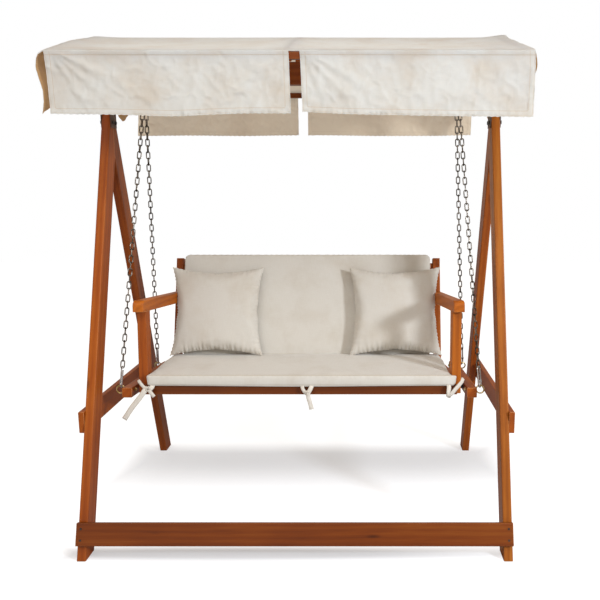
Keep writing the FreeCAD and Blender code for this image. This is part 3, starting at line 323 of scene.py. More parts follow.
def finish_node(name, material):
    nodes[name].data.materials.clear()
    nodes[name].data.materials.append(material)


timbers = sorted(name for name, slot in slot_of.items() if slot == "stained_wood")
for seed, name in enumerate(timbers):
    low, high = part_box(name)
    run, tone = RUNS.get(name, ALONG_X), TONES_AND_PAINTED_LIGHT.get(name, (1, 1, 1))
    finish_node(name, stained_wood("wood_" + name, run, (low + high) / 2, seed, tone))
print(len(timbers), "timbers stained")

# %% [markdown]
# ## Metal
# The chains are dull grey steel, the snap hooks and shackles brighter, and the rings a pale
# yellow metal. Bolts and screws are coated dark, and the brackets at the top of the legs
# brown. Handled metal is never even: a coarse noise leaves duller and rougher patches, and a
# fine one gives it a grain.


# %% Metal finishes
def metal(name, colour, dull, rough, shine=1.0):
    material = bpy.data.materials.new(name)
    tree = tree_of(material)
    place = node(tree, "TexCoord").outputs["Object"]
    patches = speckle(tree, place, 55.0, 3.0)
    fine = speckle(tree, place, 900.0, 2.0)
    bump = node(tree, "Bump", {"Height": fine, "Strength": 0.12, "Distance": 0.0004}).outputs[0]
    shader = node(tree, "BsdfPrincipled", {
        "Base Color": blend(tree, remap(tree, patches, 0.38, 0.66), dull, colour),
        "Roughness": remap(tree, patches, 0.0, 1.0, rough + 0.14, rough - 0.08),
        "Metallic": shine, "Normal": bump,
    })
    node(tree, "OutputMaterial", {"Surface": shader.outputs[0]})
    return material


METALS = {
    "chain_steel": metal("dull_chain", srgb(160, 152, 142), srgb(62, 54, 45), 0.34),
    "bright_steel": metal("bright_zinc", srgb(214, 215, 216), srgb(168, 168, 168), 0.24),
    "ring_brass": metal("pale_brass", srgb(222, 205, 158), srgb(176, 150, 92), 0.26),
    "dark_steel": metal("dark_coating", srgb(62, 56, 54), srgb(40, 37, 36), 0.48, shine=0.35),
}
for name, slot in slot_of.items():
    if slot in METALS:
        finish_node(name, METALS[slot])
brown_coating = metal("brown_coating", srgb(98, 74, 62), srgb(70, 51, 43), 0.46, shine=0.3)
finish_node("apex_brackets", brown_coating)
print(len(METALS) + 1, "metals")

# %% [markdown]
# ## Cloth
# All cloth here is a plain weave, the cushions of slightly heavier threads than the canopy.
# Warp and weft are two crossed bands on the piece's own UV map, which is in metres, so the
# threads have one size everywhere. A noise bends them a little, and others, stretched along
# them, make them uneven. The canvas was packed away for long: a ridged noise gives it fine
# creases, a broad one gives soiled patches, and part of the light passes through it. Sewing is
# drawn by attributes that hold the distance to a seam or to a hem's edge.


# %% Cloth finish
STITCH = 0.006


def woven_cloth(name, colour, deep, thread, seams=(), line_width=0.0016, hem=0.0, sheen=0.3, slub=0.5,
                glow=None, share=0.42, creased=0.0):
    """A plain weave with threads of that width. seams holds attributes with the distance and
    strength of a line of stitches. glow is the colour of the share of light that canvas lets
    through, creased the depth of its creases."""
    material = bpy.data.materials.new(name)
    tree = tree_of(material)
    flat = node(tree, "UVMap").outputs[0]
    place = node(tree, "TexCoord").outputs["Object"]
    wobble = node(tree, "TexNoise", {"Vector": flat, "Scale": 110.0, "Detail": 1.0}).outputs["Color"]
    bent = node(tree, "VectorMath", {
        0: wobble, 1: (3 * thread, 3 * thread, 0), 2: flat,
    }, operation="MULTIPLY_ADD").outputs[0]
    across, along = node(tree, "SeparateXYZ", {0: bent}).outputs[:2]
    warp, weft = (math_node(tree, "SINE", times(tree, v, math.pi / thread)) for v in (across, along))
    weave = times(tree, warp, weft)
    uneven = [speckle(tree, scaled(tree, flat, s), 1.0, 2.0) for s in ((26, 900, 1), (900, 26, 1))]
    slubs = plus(tree, *uneven)
    clouds = speckle(tree, place, 7.0, 4.0, Roughness=0.6)
    tone = remap(tree, slubs, 0.75, 1.25, slub * 0.35, 0.0)
    tone = plus(tree, tone, remap(tree, clouds, 0.45, 0.75, 0.0, 0.40))
    # painted shade between the threads: the cloth is darker where the weave lies low
    tone = plus(tree, tone, remap(tree, weave, -1.0, 0.2, 0.16, 0.0))
    if creased:
        soiled = speckle(tree, flat, 5.0, 5.0, Roughness=0.65)
        tone = plus(tree, tone, remap(tree, soiled, 0.48, 0.72, 0.0, 0.5))
    height = plus(tree, times(tree, weave, 0.35), times(tree, slubs, 0.5))
    dashes = math_node(tree, "SINE", times(tree, plus(tree, across, along), 2 * math.pi / STITCH))
    dashes = remap(tree, dashes, -0.4, 0.2, 0.4, 1.0)
    for attribute, where, strength in seams:
        distance = node(tree, "Attribute", attribute_name=attribute).outputs["Fac"]
        off = math_node(tree, "ABSOLUTE", math_node(tree, "SUBTRACT", distance, where))
        line = times(tree, remap(tree, off, 0.0005, line_width, 1.0, 0.0), dashes)
        tone = plus(tree, tone, times(tree, line, strength))
        height = plus(tree, height, remap(tree, off, 0.0, 0.004, -2.4, 0.0))
    if hem:
        distance = node(tree, "Attribute", attribute_name="edge").outputs["Fac"]
        height = plus(tree, height, remap(tree, distance, hem, hem + 0.0015, 2.2, 0.0))
    bump = node(tree, "Bump", {"Height": height, "Strength": 0.35, "Distance": 0.0006}).outputs[0]
    if creased:
        ridges = node(tree, "TexNoise", {
            "Vector": flat, "Scale": 23.0, "Detail": 4.0, "Roughness": 0.6, "Distortion": 0.5,
        }, noise_type="RIDGED_MULTIFRACTAL").outputs["Fac"]
        hanging = node(tree, "Attribute", attribute_name="eave").outputs["Fac"]
        ridges = times(tree, ridges, remap(tree, hanging, -0.03, 0.0, 0.25, 1.0))
        bump = node(tree, "Bump", {
            "Height": ridges, "Strength": 1.0, "Distance": creased, "Normal": bump,
        }).outputs[0]
    tone = math_node(tree, "ADD", tone, 0.0, clamp=True)
    shader = node(tree, "BsdfPrincipled", {
        "Base Color": blend(tree, tone, colour, deep), "Normal": bump, "Specular IOR Level": 0.2,
        "Roughness": remap(tree, slubs, 0.7, 1.3, 0.95, 0.80),
        "Sheen Weight": sheen, "Sheen Roughness": 0.5,
    })
    if glow:
        through = node(tree, "BsdfTranslucent", {"Color": glow, "Normal": bump})
        shader = node(tree, "MixShader", {0: share, 1: shader.outputs[0], 2: through.outputs[0]})
    node(tree, "OutputMaterial", {"Surface": shader.outputs[0]})
    return material


print("stitches of", round(1000 * STITCH), "mm")

# %% [markdown]
# ## The canopy
# One cover of canvas lies over the ridge and the two eave rails. Flaps hang along the eaves,
# parted in the middle, and along both gables, parted from the eave flaps at the corners.
# It is laid out as panels of a fine grid that share their sewn edges, and merged into one
# sheet. Canvas that hangs like this doesn't fall in free folds, so the creases are shaped one
# by one: pulls that fan out from the sewn corners, the crumple of a packed cloth, and puckers
# along the stitched hems. The roof sags a little between its rafters.

# %% Canopy sizes
roof_low, roof_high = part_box("canopy_roof_front")
HALF_WIDTH, HALF_DEPTH, RIDGE = roof_high.x, -roof_low.y, roof_high.z
EAVE = 1.850
DROP = 0.200
SLOPE = (RIDGE - EAVE) / HALF_DEPTH
RIDGE_ROUND = 0.014
RAFTER_PITCH = 0.804
CLOTH_THICK = 0.0016
FRONT_SLIT = (0.006, 0.043)
REAR_SLIT = (-0.066, -0.017)
print("canopy", round(2 * HALF_WIDTH, 3), "wide and", round(2 * HALF_DEPTH, 3), "deep")


# %% Creases
def waves(x, y, scale, seed):
    return noise.noise(Vector((x * scale, y * scale, seed)))


def creases(x, y, scale, seed):
    """Thin ridges where a noise passes through zero, like the folds of packed cloth."""
    bend = 0.35 / scale * waves(x, y, scale * 0.8, seed + 9)
    sharp = 1 - abs(waves(x + bend, y - bend, scale, seed))
    return sharp ** 7


def crumple(x, y, seed):
    return (0.0024 * waves(x, y, 6, seed) + 0.0026 * creases(x, y, 7, seed + 3)
            + 0.0030 * creases(x * 1.2, y, 15, seed + 5) + 0.0022 * creases(x, y * 1.2, 30, seed + 7))


def pulls(x, drop, corner, lines, reach):
    """Folds that fan out from a corner: lines holds (angle below level, width, height)."""
    dx, dy = x - corner, drop + 0.004
    far = math.hypot(dx, dy)
    angle = math.degrees(math.atan2(dy, abs(dx)))
    fade = min(far / 0.05, 1) * math.exp(-(far / reach) ** 2)
    return fade * sum(h * math.exp(-((angle - a) / w) ** 2) for a, w, h in lines)


def ease(t):
    t = min(max(t, 0.0), 1.0)
    return t * t * (3 - 2 * t)


print("crumple at the middle of a flap:", round(1000 * crumple(0.4, 0.1, 1), 2), "mm")


# %% Panels
def seam_attribute(mesh, name, values):
    layer = mesh.attributes.new(name, "FLOAT", "POINT")
    layer.data.foreach_set("value", np.array(values, np.float32))


class Sheet:
    """Collects panels of a grid: places, faces, UV and the sewing distances of each corner."""

    def __init__(self):
        self.places, self.faces, self.flat, self.edge, self.eave, self.finish = [], [], [], [], [], []

    def panel(self, across, down, place, flat, edge, eave, finish=0, flip=False):
        start = len(self.places)
        rows, columns = len(down), len(across)
        for d, a in itertools.product(down, across):
            self.places.append(place(a, d))
            self.flat.append(flat(a, d))
            self.edge.append(edge(a, d))
            self.eave.append(eave(a, d))
        for r, c in itertools.product(range(rows - 1), range(columns - 1)):
            one = start + r * columns + c
            quad = (one, one + 1, one + columns + 1, one + columns)
            self.faces.append(quad[::-1] if flip else quad)
            self.finish.append(finish)

    def mesh(self, name):
        made = bpy.data.meshes.new(name)
        made.from_pydata(self.places, [], self.faces)
        layer = made.uv_layers.new(name="UVMap")
        corners = np.empty(len(made.loops), np.int32)
        made.loops.foreach_get("vertex_index", corners)
        layer.data.foreach_set("uv", np.array(self.flat, np.float32)[corners].ravel())
        seam_attribute(made, "edge", self.edge)
        seam_attribute(made, "eave", self.eave)
        made.polygons.foreach_set("material_index", np.array(self.finish, np.int32))
        return made


def spread(start, end, step):
    count = max(2, round(abs(end - start) / step) + 1)
    return [start + (end - start) * k / (count - 1) for k in range(count)]


print("half a metre in steps of about 0.2:", spread(0.0, 0.5, 0.2))


# %% Roof of the canopy
def roof_height(x, y):
    from_ridge = math.sqrt(y * y + RIDGE_ROUND ** 2) - RIDGE_ROUND
    t = min(abs(y) / HALF_DEPTH, 1)
    bay = abs(math.sin(math.pi * x / RAFTER_PITCH)) if abs(x) < RAFTER_PITCH else 0.0
    sag = 0.011 * bay ** 0.8 * math.sin(math.pi * t) ** 0.8
    ruck = crumple(x, y, 21) * 0.55 * ease(4 * t) * ease(6 * (1 - t))
    shoulder = 0.0
    if x < 0 and y < 0:
        shoulder = 0.006 * math.exp(-((x + HALF_WIDTH) / 0.09) ** 2) * math.sin(math.pi * t) ** 1.5
        shoulder -= 0.012 * math.exp(-((x + HALF_WIDTH) / 0.012) ** 2) * t ** 3
    near_end = math.exp(-(from_ridge / 0.06) ** 2) * ease((abs(x) - 0.70) / 0.138) ** 2
    lift = (0.004 if x < 0 else 0.010) * near_end - 0.004 * ease(30 * (t - 0.97))
    return RIDGE - SLOPE * from_ridge - sag + max(ruck, -0.002) * 0.8 + shoulder + lift


FLAP_COLUMNS = {
    "front": (spread(-0.817, FRONT_SLIT[0], 0.0068), spread(FRONT_SLIT[1], 0.837, 0.0068)),
    "rear": (spread(-0.836, REAR_SLIT[0], 0.0085), spread(REAR_SLIT[1], 0.802, 0.0085)),
}
roof_columns = {round(x, 6) for flaps in FLAP_COLUMNS["front"] for x in flaps}
roof_columns |= {-HALF_WIDTH, -0.825, HALF_WIDTH, 0.018, 0.030}
roof_columns = sorted(roof_columns)
half_rows = spread(0.030, HALF_DEPTH - 0.014, 0.0145)
half_rows = [0.0, 0.004, 0.010, 0.018, *half_rows, HALF_DEPTH - 0.006, HALF_DEPTH]
roof_rows = sorted({-y for y in half_rows} | set(half_rows))
cover = Sheet()
cover.panel(
    roof_columns, roof_rows,
    lambda x, y: (x, y, roof_height(x, y)),
    lambda x, y: (x, y),
    lambda x, y: 1.0,
    lambda x, y: abs(y) - HALF_DEPTH,
)
print("roof:", len(roof_columns), "by", len(roof_rows), "points")


# %% Eave flaps
DOWN = [0.0, 0.004, 0.009, *spread(0.015, DROP - 0.010, 0.0062), DROP - 0.005, DROP]
FLAP_PULLS = {
    "front_left": [
        (-0.80, [(24, 5, 0.007), (40, 4, 0.005), (58, 6, 0.004)], 0.26),
        (0.004, [(38, 6, 0.004), (56, 5, 0.003)], 0.20),
    ],
    "front_right": [
        (0.045, [(28, 4, 0.005), (44, 5, 0.006), (63, 5, 0.004)], 0.30),
        (0.83, [(35, 7, 0.003)], 0.18),
    ],
    "rear_left": [(-0.82, [(35, 7, 0.006)], 0.22)],
    "rear_right": [(0.82, [(35, 7, 0.006)], 0.22)],
}
# how much lower the hem hangs at the left, in the middle and at the right
HEMS = {
    "front_left": (0, 0.010, 0), "front_right": (-0.006, 0.009, 0.011),
    "rear_left": (0, 0.004, 0), "rear_right": (0, 0.004, 0),
}


def flap_place(name, sign, start, end, lean):
    """Where a point of a flap hangs. lean moves the free side edges in or out at the hem."""
    seed = 31 + 17 * sorted(FLAP_PULLS).index(name)

    def place(x, d):
        t = d / DROP
        side = (x - start) / (end - start)
        inward = lean[0] * (1 - side) ** 3 * math.sqrt(t) + lean[1] * side ** 3 * math.sqrt(t)
        out = 0.010 * t * waves(x, 0.2, 2.2, seed)
        out += 0.006 * math.sin(math.pi * min(t * 1.1, 1)) * waves(x, 0.5, 4.5, seed + 1)
        out += ease(d / 0.05) * crumple(x, d, seed)
        out += sum(pulls(x, d, corner, lines, reach) for corner, lines, reach in FLAP_PULLS[name])
        pucker = math.exp(-((DROP - d) / 0.013) ** 2)
        beat = math.sin(2 * math.pi * (x / 0.021 + 0.8 * waves(x, 0.9, 9, seed)))
        out += 0.0020 * pucker * beat
        low = d + 0.006 * t * waves(x, 1.3, 3.0, seed + 2)
        low = low + t * float(np.interp(side, (0, 0.5, 1), HEMS[name])) + 0.0012 * pucker * beat
        top = roof_height(x, sign * HALF_DEPTH)
        drop = top - low + ease(d / DROP) * (EAVE - 0.004 - top)
        return (x + inward, sign * (HALF_DEPTH + max(out, -0.0015) * ease(d / 0.012)), drop)
    return place


def flap(name, sign, columns, lean):
    start, end = columns[0], columns[-1]
    cover.panel(
        columns, DOWN, flap_place(name, sign, start, end, lean),
        lambda x, d: (x, sign * (HALF_DEPTH + d)),
        lambda x, d: min(x - start, end - x, DROP - d),
        lambda x, d: d,
        flip=sign < 0,
    )


rear_columns = [[x for x in roof_columns if a[0] - 0.004 <= x <= a[-1] + 0.004] for a in FLAP_COLUMNS["rear"]]
flap("front_left", -1, [x for x in roof_columns if -0.8171 < x < FRONT_SLIT[0] + 1e-4], (0.009, 0.006))
flap("front_right", -1, [x for x in roof_columns if FRONT_SLIT[1] - 1e-4 < x < 0.8371], (0.008, 0.003))
flap("rear_left", 1, rear_columns[0], (-0.028, 0.0))
flap("rear_right", 1, rear_columns[1], (0.0, -0.006))
print("flaps:", len(cover.faces), "faces with the roof")


# %% Gable flaps
# how far the left one swings out at its front edge, from the roof down to the hem
LEFT_SWING = (0, 0.1, 0.21, 0.4, 0.6, 0.8, 1), (0.002, 0.006, 0.008, -0.001, -0.012, -0.013, -0.006)


def gable_place(hand):
    seed = 201 if hand < 0 else 251

    def place(y, d):
        t = d / DROP
        near_front = math.exp(-((y + HALF_DEPTH) / 0.16) ** 2)
        near_rear = math.exp(-((y - HALF_DEPTH) / 0.10) ** 2)
        at_leg = math.exp(-(y / 0.16) ** 2)
        swing = float(np.interp(t, *LEFT_SWING))
        if hand > 0:
            swing = 0.007 * math.sin(math.pi * min(t * 2.2, 1)) - 0.022 * ease((t - 0.30) / 0.4)
        out = swing * near_front - 0.014 * t * near_rear
        free = 1 - at_leg
        out += free * (1 - 0.8 * near_front) * ease(d / 0.05) * crumple(y, d, seed) * 1.2 + 0.004 * t * free
        out = max(out, -0.0005) if at_leg > 0.25 else out
        tip = 0.0
        if y > 0:
            tip = (0.058 if hand < 0 else 0.078) * math.exp(-((y - 0.27) / 0.085) ** 2)
            tip -= 0.085 * math.exp(-((HALF_DEPTH - y) / 0.22) ** 2)
        low = d + (tip - 0.006 * near_front) * t + 0.004 * t * waves(y, 0.7, 4, seed)
        back = -0.012 * t * near_rear
        top = roof_height(hand * HALF_WIDTH, y)
        return (hand * (HALF_WIDTH + out * ease(d / 0.010)), y + back, top - low)
    return place


for hand in (-1, 1):
    cover.panel(
        roof_rows, DOWN, gable_place(hand),
        lambda y, d: (y, HALF_WIDTH + d),
        lambda y, d: min(HALF_DEPTH - abs(y), DROP - d),
        lambda y, d: d,
        finish=2, flip=hand > 0,
    )
print("canopy panels:", len(cover.faces), "faces")

# %% One sheet of canvas
CANVAS_SEAMS = (("edge", 0.004, 0.6), ("edge", 0.018, 1.2), ("eave", 0.0135, 1.6))


def canvas(name, colour, deep, glow, share=0.42):
    return woven_cloth(
        name, srgb(*colour), srgb(*deep), 0.0009, CANVAS_SEAMS, hem=0.020, sheen=0.25,
        glow=srgb(*glow), share=share, creased=0.005,
    )


# the lining finishes paint light and shade inside the canopy: under the roof and eave flaps the inner side is
# painted lighter and warmer, painted light, and inside the gable flaps it is a darker tan, painted shade
outside = canvas("ecru_canvas", (218, 224, 226), (198, 186, 170), (240, 243, 243))
inside = canvas("canvas_lining_painted_light", (245, 227, 205), (216, 194, 166), (252, 240, 223), share=0.68)
gable_painted_shade = canvas("canvas_gable_painted_shade", (196, 154, 106), (168, 126, 80), (214, 176, 128))
canopy = bpy.data.objects.new("canopy_cover", cover.mesh("canopy_cover"))
link(canopy)


def take(obj):
    bpy.ops.object.select_all(action="DESELECT")
    bpy.context.view_layer.objects.active = obj
    obj.select_set(True)


def mode(name):
    bpy.ops.object.mode_set(mode=name)


def edit(action):
    mode("EDIT")
    bpy.ops.mesh.select_all(action=action)


def apply_modifiers(obj):
    take(obj)
    for modifier in list(obj.modifiers):
        bpy.ops.object.modifier_apply(modifier=modifier.name)


def thicken(obj, thickness, offset, inside_finish=0):
    """Gives a sheet its thickness, and its inner side another of its finishes."""
    wall = obj.modifiers.new("wall", "SOLIDIFY")
    wall.thickness, wall.offset, wall.material_offset = thickness, offset, inside_finish
    apply_modifiers(obj)


take(canopy)
edit("SELECT")
bpy.ops.mesh.remove_doubles(threshold=0.0004)
mode("OBJECT")
# outer side, inner side with painted light, gable outer side, gable inner side with painted shade
for finish in (outside, inside, outside, gable_painted_shade):
    canopy.data.materials.append(finish)
thicken(canopy, CLOTH_THICK, -1, 1)
bpy.ops.object.shade_smooth_by_angle(angle=math.radians(50))
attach(canopy, "frame")
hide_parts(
    "canopy_roof_front", "canopy_roof_rear",
    "canopy_front_flaps", "canopy_rear_flaps", "canopy_gable_flaps",
)

# %% [markdown]
# ## Cushions
# The seat and back cushions are boxed: a flat top, a narrow band round the sides, and a seam
# where they meet. Each starts as a cube, cut to size and beveled, is remeshed into even
# cells and then blown up a little as cloth under pressure, with a cap on how far any point
# may go. What rests on wood is pressed flat again. The seams come last, as attributes.

# %% Where the cushions lie
SEAT_PLACE = Matrix.Translation((0, -0.055, 0.586)) @ Matrix.Rotation(SEAT_TILT, 4, "X")
BACK_PLACE = Matrix.Translation((0, 0.1045, 0.5737)) @ Matrix.Rotation(BACK_LEAN, 4, "X")


def read(items, name, width):
    out = np.empty(width * len(items), np.float32)
    items.foreach_get(name, out)
    return out.reshape(-1, width).astype(float)


def places(obj):
    return read(obj.data.vertices, "co", 3)


def normals(obj):
    return read(obj.data.vertices, "normal", 3)


def put(obj, co):
    obj.data.vertices.foreach_set("co", co.astype(np.float32).ravel())
    obj.data.update()


print("seat tilt and back lean:", [round(math.degrees(a), 1) for a in (SEAT_TILT, BACK_LEAN)])

# %% Blowing up a cover
CLOTH_STIFF = 15.0


def swell(obj, pressure, cap, frames, held=None):
    """Blows a closed cover up, and holds every point within the cap of where it was.
    held marks the points that seams and the wood below keep in place."""
    before = places(obj)
    cloth = obj.modifiers.new("cloth", "CLOTH")
    if held is not None:
        obj.vertex_groups.new(name="held").add(np.flatnonzero(held).tolist(), 1.0, "REPLACE")
        cloth.settings.vertex_group_mass = "held"
    cloth.settings.use_pressure = True
    cloth.settings.uniform_pressure_force = pressure
    cloth.settings.effector_weights.gravity = 0
    cloth.settings.tension_stiffness = cloth.settings.compression_stiffness = CLOTH_STIFF
    cloth.settings.shear_stiffness = CLOTH_STIFF / 3
    for moment in range(1, frames + 1):
        bpy.context.scene.frame_set(moment)
    take(obj)
    bpy.ops.object.modifier_apply(modifier="cloth")
    bpy.context.scene.frame_set(1)
    move = places(obj) - before
    far = np.linalg.norm(move, axis=1, keepdims=True)
    put(obj, before + move * cap * np.tanh(far / cap) / np.maximum(far, 1e-9))
    return float(far.max())


def refine(obj, calm):
    """Takes the jitter of the cells out of a cover, but not at its held seams, then divides every cell."""
    for iterations, group in ((2, ""), (calm, "held")):
        even = obj.modifiers.new("even", "SMOOTH")
        even.factor, even.iterations = 0.5, iterations
        if group in obj.vertex_groups:
            even.vertex_group, even.invert_vertex_group = group, True
    finer = obj.modifiers.new("finer", "SUBSURF")
    finer.levels = finer.render_levels = 1
    apply_modifiers(obj)
    return places(obj)


print("cloth of stiffness", CLOTH_STIFF)


# %% Gathers and dents
def soft_step(t):
    t = np.clip(t, 0, 1)
    return t * t * (3 - 2 * t)


def pucker(along, off, pitch, reach, seed):
    """Gathers along a seam: an uneven wave that fades with the distance off the seam."""
    wander = 0.9 * np.sin(along * 23 + seed) + 0.7 * np.sin(along * 41 + 2 * seed)
    return np.sin(2 * np.pi * along / pitch + 2 * wander) * np.exp(-(off / reach) ** 2)


def dents(co, scale, seed):
    return np.array([noise.noise(Vector((p * scale).tolist()) + Vector((seed, seed, 0))) for p in co])


print("a gather right at its seam:", round(float(pucker(0.01, 0.0, 0.023, 0.010, 1.0)), 2))

# %% From a cube to a pad
PAD_CELL = 0.0073


def box_pad(name, low, high):
    """A cube between two corners."""
    bpy.ops.mesh.primitive_cube_add(size=1)
    pad = bpy.context.active_object
    pad.name = name
    pad.scale = Vector(high) - Vector(low)
    pad.location = (Vector(high) + Vector(low)) / 2
    bpy.ops.object.transform_apply(location=True, rotation=True, scale=True)
    return pad


def bevel(pad, offset, segments, wanted):
    """Bevels the edges that wanted picks by their middle and their run."""
    edit("DESELECT")
    mode("OBJECT")
    for edge in pad.data.edges:
        a, b = (pad.data.vertices[k].co for k in edge.vertices)
        edge.select = wanted((a + b) / 2, (b - a).normalized())
    mode("EDIT")
    bpy.ops.mesh.select_mode(type="EDGE")
    bpy.ops.mesh.bevel(offset=offset, segments=segments, affect="EDGES")
    mode("OBJECT")


def remesh(pad):
    pad.data.remesh_voxel_size = PAD_CELL
    take(pad)
    bpy.ops.object.voxel_remesh()


print("pads get cells of", 1000 * PAD_CELL, "mm")

# %% Seat cushion
SEAM_UP, SEAM_LOW = 0.041, 0.003
SEAT_HALF, SEAT_FRONT, SEAT_REAR = 0.6225, -0.2375, 0.151
seat_pad = box_pad("seat_cushion_cover", (-SEAT_HALF, SEAT_FRONT, 0.0005), (SEAT_HALF, SEAT_REAR, 0.0435))
edit("DESELECT")
mode("OBJECT")
for vertex in seat_pad.data.vertices:
    vertex.select = vertex.co.y > 0
mode("EDIT")
bpy.ops.mesh.select_mode(type="VERT")
bpy.ops.transform.resize(value=(0.935, 1, 1), center_override=(0, 0, 0))
mode("OBJECT")
bevel(seat_pad, 0.011, 4, lambda middle, run: abs(run.z) > 0.9)
bevel(seat_pad, 0.005, 2, lambda middle, run: abs(run.z) < 0.1 and not 0.001 <= middle.z <= 0.043)
remesh(seat_pad)
co, look = places(seat_pad), normals(seat_pad)[:, 2]
held = (co[:, 2] < 0.006) | ((co[:, 2] > 0.030) & (look > 0.2) & (look < 0.97))
swollen = swell(seat_pad, 4.0, 0.008, 16, held=held)
print("seat cushion swells by", round(1000 * swollen, 1), "mm before the cap")
print("seat cushion:", len(seat_pad.data.polygons), "cells")

# %% Crown and corners of the seat cushion
co = refine(seat_pad, 24)
co[:, 2] = np.where(co[:, 2] < 0.003, 0.0008 + 0.3 * np.maximum(co[:, 2], 0), co[:, 2])
crown = 0.020 * soft_step((co[:, 1] + 0.24) / 0.35)
rise = 0.030 - 0.016 * soft_step((co[:, 1] - 0.08) / 0.05)
co[:, 2] += crown * np.clip((co[:, 2] - rise) / 0.014, 0, 1)
hang = np.clip((-0.2236 - co[:, 1]) / 0.004, 0, 1) * np.clip(1 - co[:, 2] / 0.045, 0, 1)
co[:, 2] -= hang * (0.0025 + 0.0045 * np.exp(-(co[:, 0] / 0.35) ** 2))
co[:, 1] = np.maximum(co[:, 1], -0.2410)
before_post = np.clip((-0.2245 - co[:, 1]) / 0.004, 0, 1) * soft_step((co[:, 0] - 0.59) / 0.035)
co[:, 0] += 0.020 * before_post
over = np.clip((co[:, 2] - 0.027) / 0.008, 0, 1) * soft_step((co[:, 1] + 0.20) / 0.25)
co[:, 0] *= 1 + 0.040 * over * soft_step((np.abs(co[:, 0]) - 0.30) / 0.28)
side_limit = 0.6240 + 0.022 * before_post - (0.105 - 0.060 * over) * (co[:, 1] + 0.236)
co[:, 0] = np.clip(co[:, 0], -side_limit, side_limit)
co[:, 2] += np.where(co[:, 2] > 0.044, 0.0030 * dents(co * np.array((0.5, 1, 0)), 8, 4), 0)
put(seat_pad, co)
rim = np.minimum(np.minimum(side_limit - np.abs(co[:, 0]), co[:, 1] - SEAT_FRONT), SEAT_REAR - co[:, 1])
off = np.hypot(co[:, 2] - SEAM_UP, np.maximum(rim - 0.004, 0))
co += normals(seat_pad) * (0.0006 * pucker(co[:, 0] + co[:, 1], off, 0.023, 0.010, 1.0))[:, None]
put(seat_pad, co)
print("seat cushion:", len(seat_pad.data.polygons), "faces, top at", round(1000 * co[:, 2].max(), 1), "mm")

# %% Seams of the seat cushion
cushion_cloth = woven_cloth(
    "beige_cushion", srgb(210, 207, 200), srgb(187, 177, 162), 0.0011, (("welt", 0.0, 1.0),), 0.0022,
    slub=0.7,
)


def finish_pad(pad, cloth, place, node_name):
    take(pad)
    edit("SELECT")
    bpy.ops.uv.cube_project(cube_size=1.0)
    mode("OBJECT")
    pad.data.transform(place)
    pad.data.materials.clear()
    pad.data.materials.append(cloth)
    bpy.ops.object.shade_smooth()
    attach(pad, "seat")
    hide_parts(node_name)


welt = np.minimum(np.abs(co[:, 2] - SEAM_UP), np.abs(co[:, 2] - SEAM_LOW))
seam_attribute(seat_pad.data, "welt", welt)
finish_pad(seat_pad, cushion_cloth, SEAT_PLACE, "seat_cushion")
print("seat cushion in place")

# %% Back cushion
BACK_SEAM = -0.038
BACK_HALF, BACK_LOW, BACK_TOP = 0.5745, 0.0535, 0.521
back_pad = box_pad("back_cushion_cover", (-BACK_HALF, -0.0415, BACK_LOW), (BACK_HALF, -0.002, BACK_TOP))
bevel(back_pad, 0.024, 5, lambda middle, run: abs(run.y) > 0.9)
bevel(back_pad, 0.006, 2, lambda middle, run: abs(run.y) < 0.1 and not -0.041 <= middle.y <= -0.003)
remesh(back_pad)
co, look = places(back_pad), normals(back_pad)[:, 1]
held = (co[:, 1] > -0.008) | ((co[:, 1] < -0.030) & (look < -0.2) & (look > -0.97))
swollen = swell(back_pad, 4.0, 0.006, 16, held=held)
print("back cushion swells by", round(1000 * swollen, 1), "mm before the cap")
co = refine(back_pad, 24)
co[:, 1] = np.where(co[:, 1] > -0.0035, -0.0008 + 0.3 * np.minimum(co[:, 1], 0), co[:, 1])
co[:, 0] = np.clip(co[:, 0], -0.5755, 0.5755)
co[:, 2] = np.clip(co[:, 2], 0.0530, 0.5235)
co[:, 2] -= 0.005 * soft_step((0.085 - co[:, 2]) / 0.03) * soft_step((-0.015 - co[:, 1]) / 0.02)
co[:, 1] -= np.where(co[:, 1] < -0.040, 0.0030 * dents(co * np.array((0.6, 0, 1)), 7, 11), 0)
co[:, 1] = np.maximum(co[:, 1], -0.0498)
put(back_pad, co)
rim = np.minimum(np.minimum(BACK_HALF - np.abs(co[:, 0]), co[:, 2] - BACK_LOW), BACK_TOP - co[:, 2])
off = np.hypot(co[:, 1] - BACK_SEAM, np.maximum(rim - 0.004, 0))
co += normals(back_pad) * (0.0006 * pucker(co[:, 0] + co[:, 2], off, 0.026, 0.010, 2.0))[:, None]
put(back_pad, co)
seam_attribute(back_pad.data, "welt", np.minimum(off, np.abs(co[:, 1] + 0.006)))
finish_pad(back_pad, cushion_cloth, BACK_PLACE, "back_cushion")
print("back cushion:", len(back_pad.data.polygons), "faces, top at", round(1000 * co[:, 2].max(), 1), "mm")

# %% [markdown]
# ## Loose pillows
# A scatter pillow is two squares sewn along their edges and stuffed. Blown up as cloth it
# finds its own form: the sides pull in, the corners stay behind as small ears, and the seam
# gathers. One is made and copied, and each copy is leaned against the back cushion.

# %% Evening out
def even_out(obj, flat):
    """Gives a stuffed square the mean form of its eight mirror images, which takes out chance buckles."""
    stuffed = places(obj)
    spots = list(zip(*np.rint(flat[:, :2] / 0.001).astype(int).T, flat[:, 2] > 0))
    index = {spot: k for k, spot in enumerate(spots)}
    total = np.zeros_like(stuffed)
    for sx, sy, sz in itertools.product((-1, 1), repeat=3):
        twins = [index[(sx * x, sy * y, up == (sz > 0))] for x, y, up in spots]
        total += stuffed[twins] * np.array((sx, sy, sz))
    put(obj, total / 8)


print("eight images of each point")

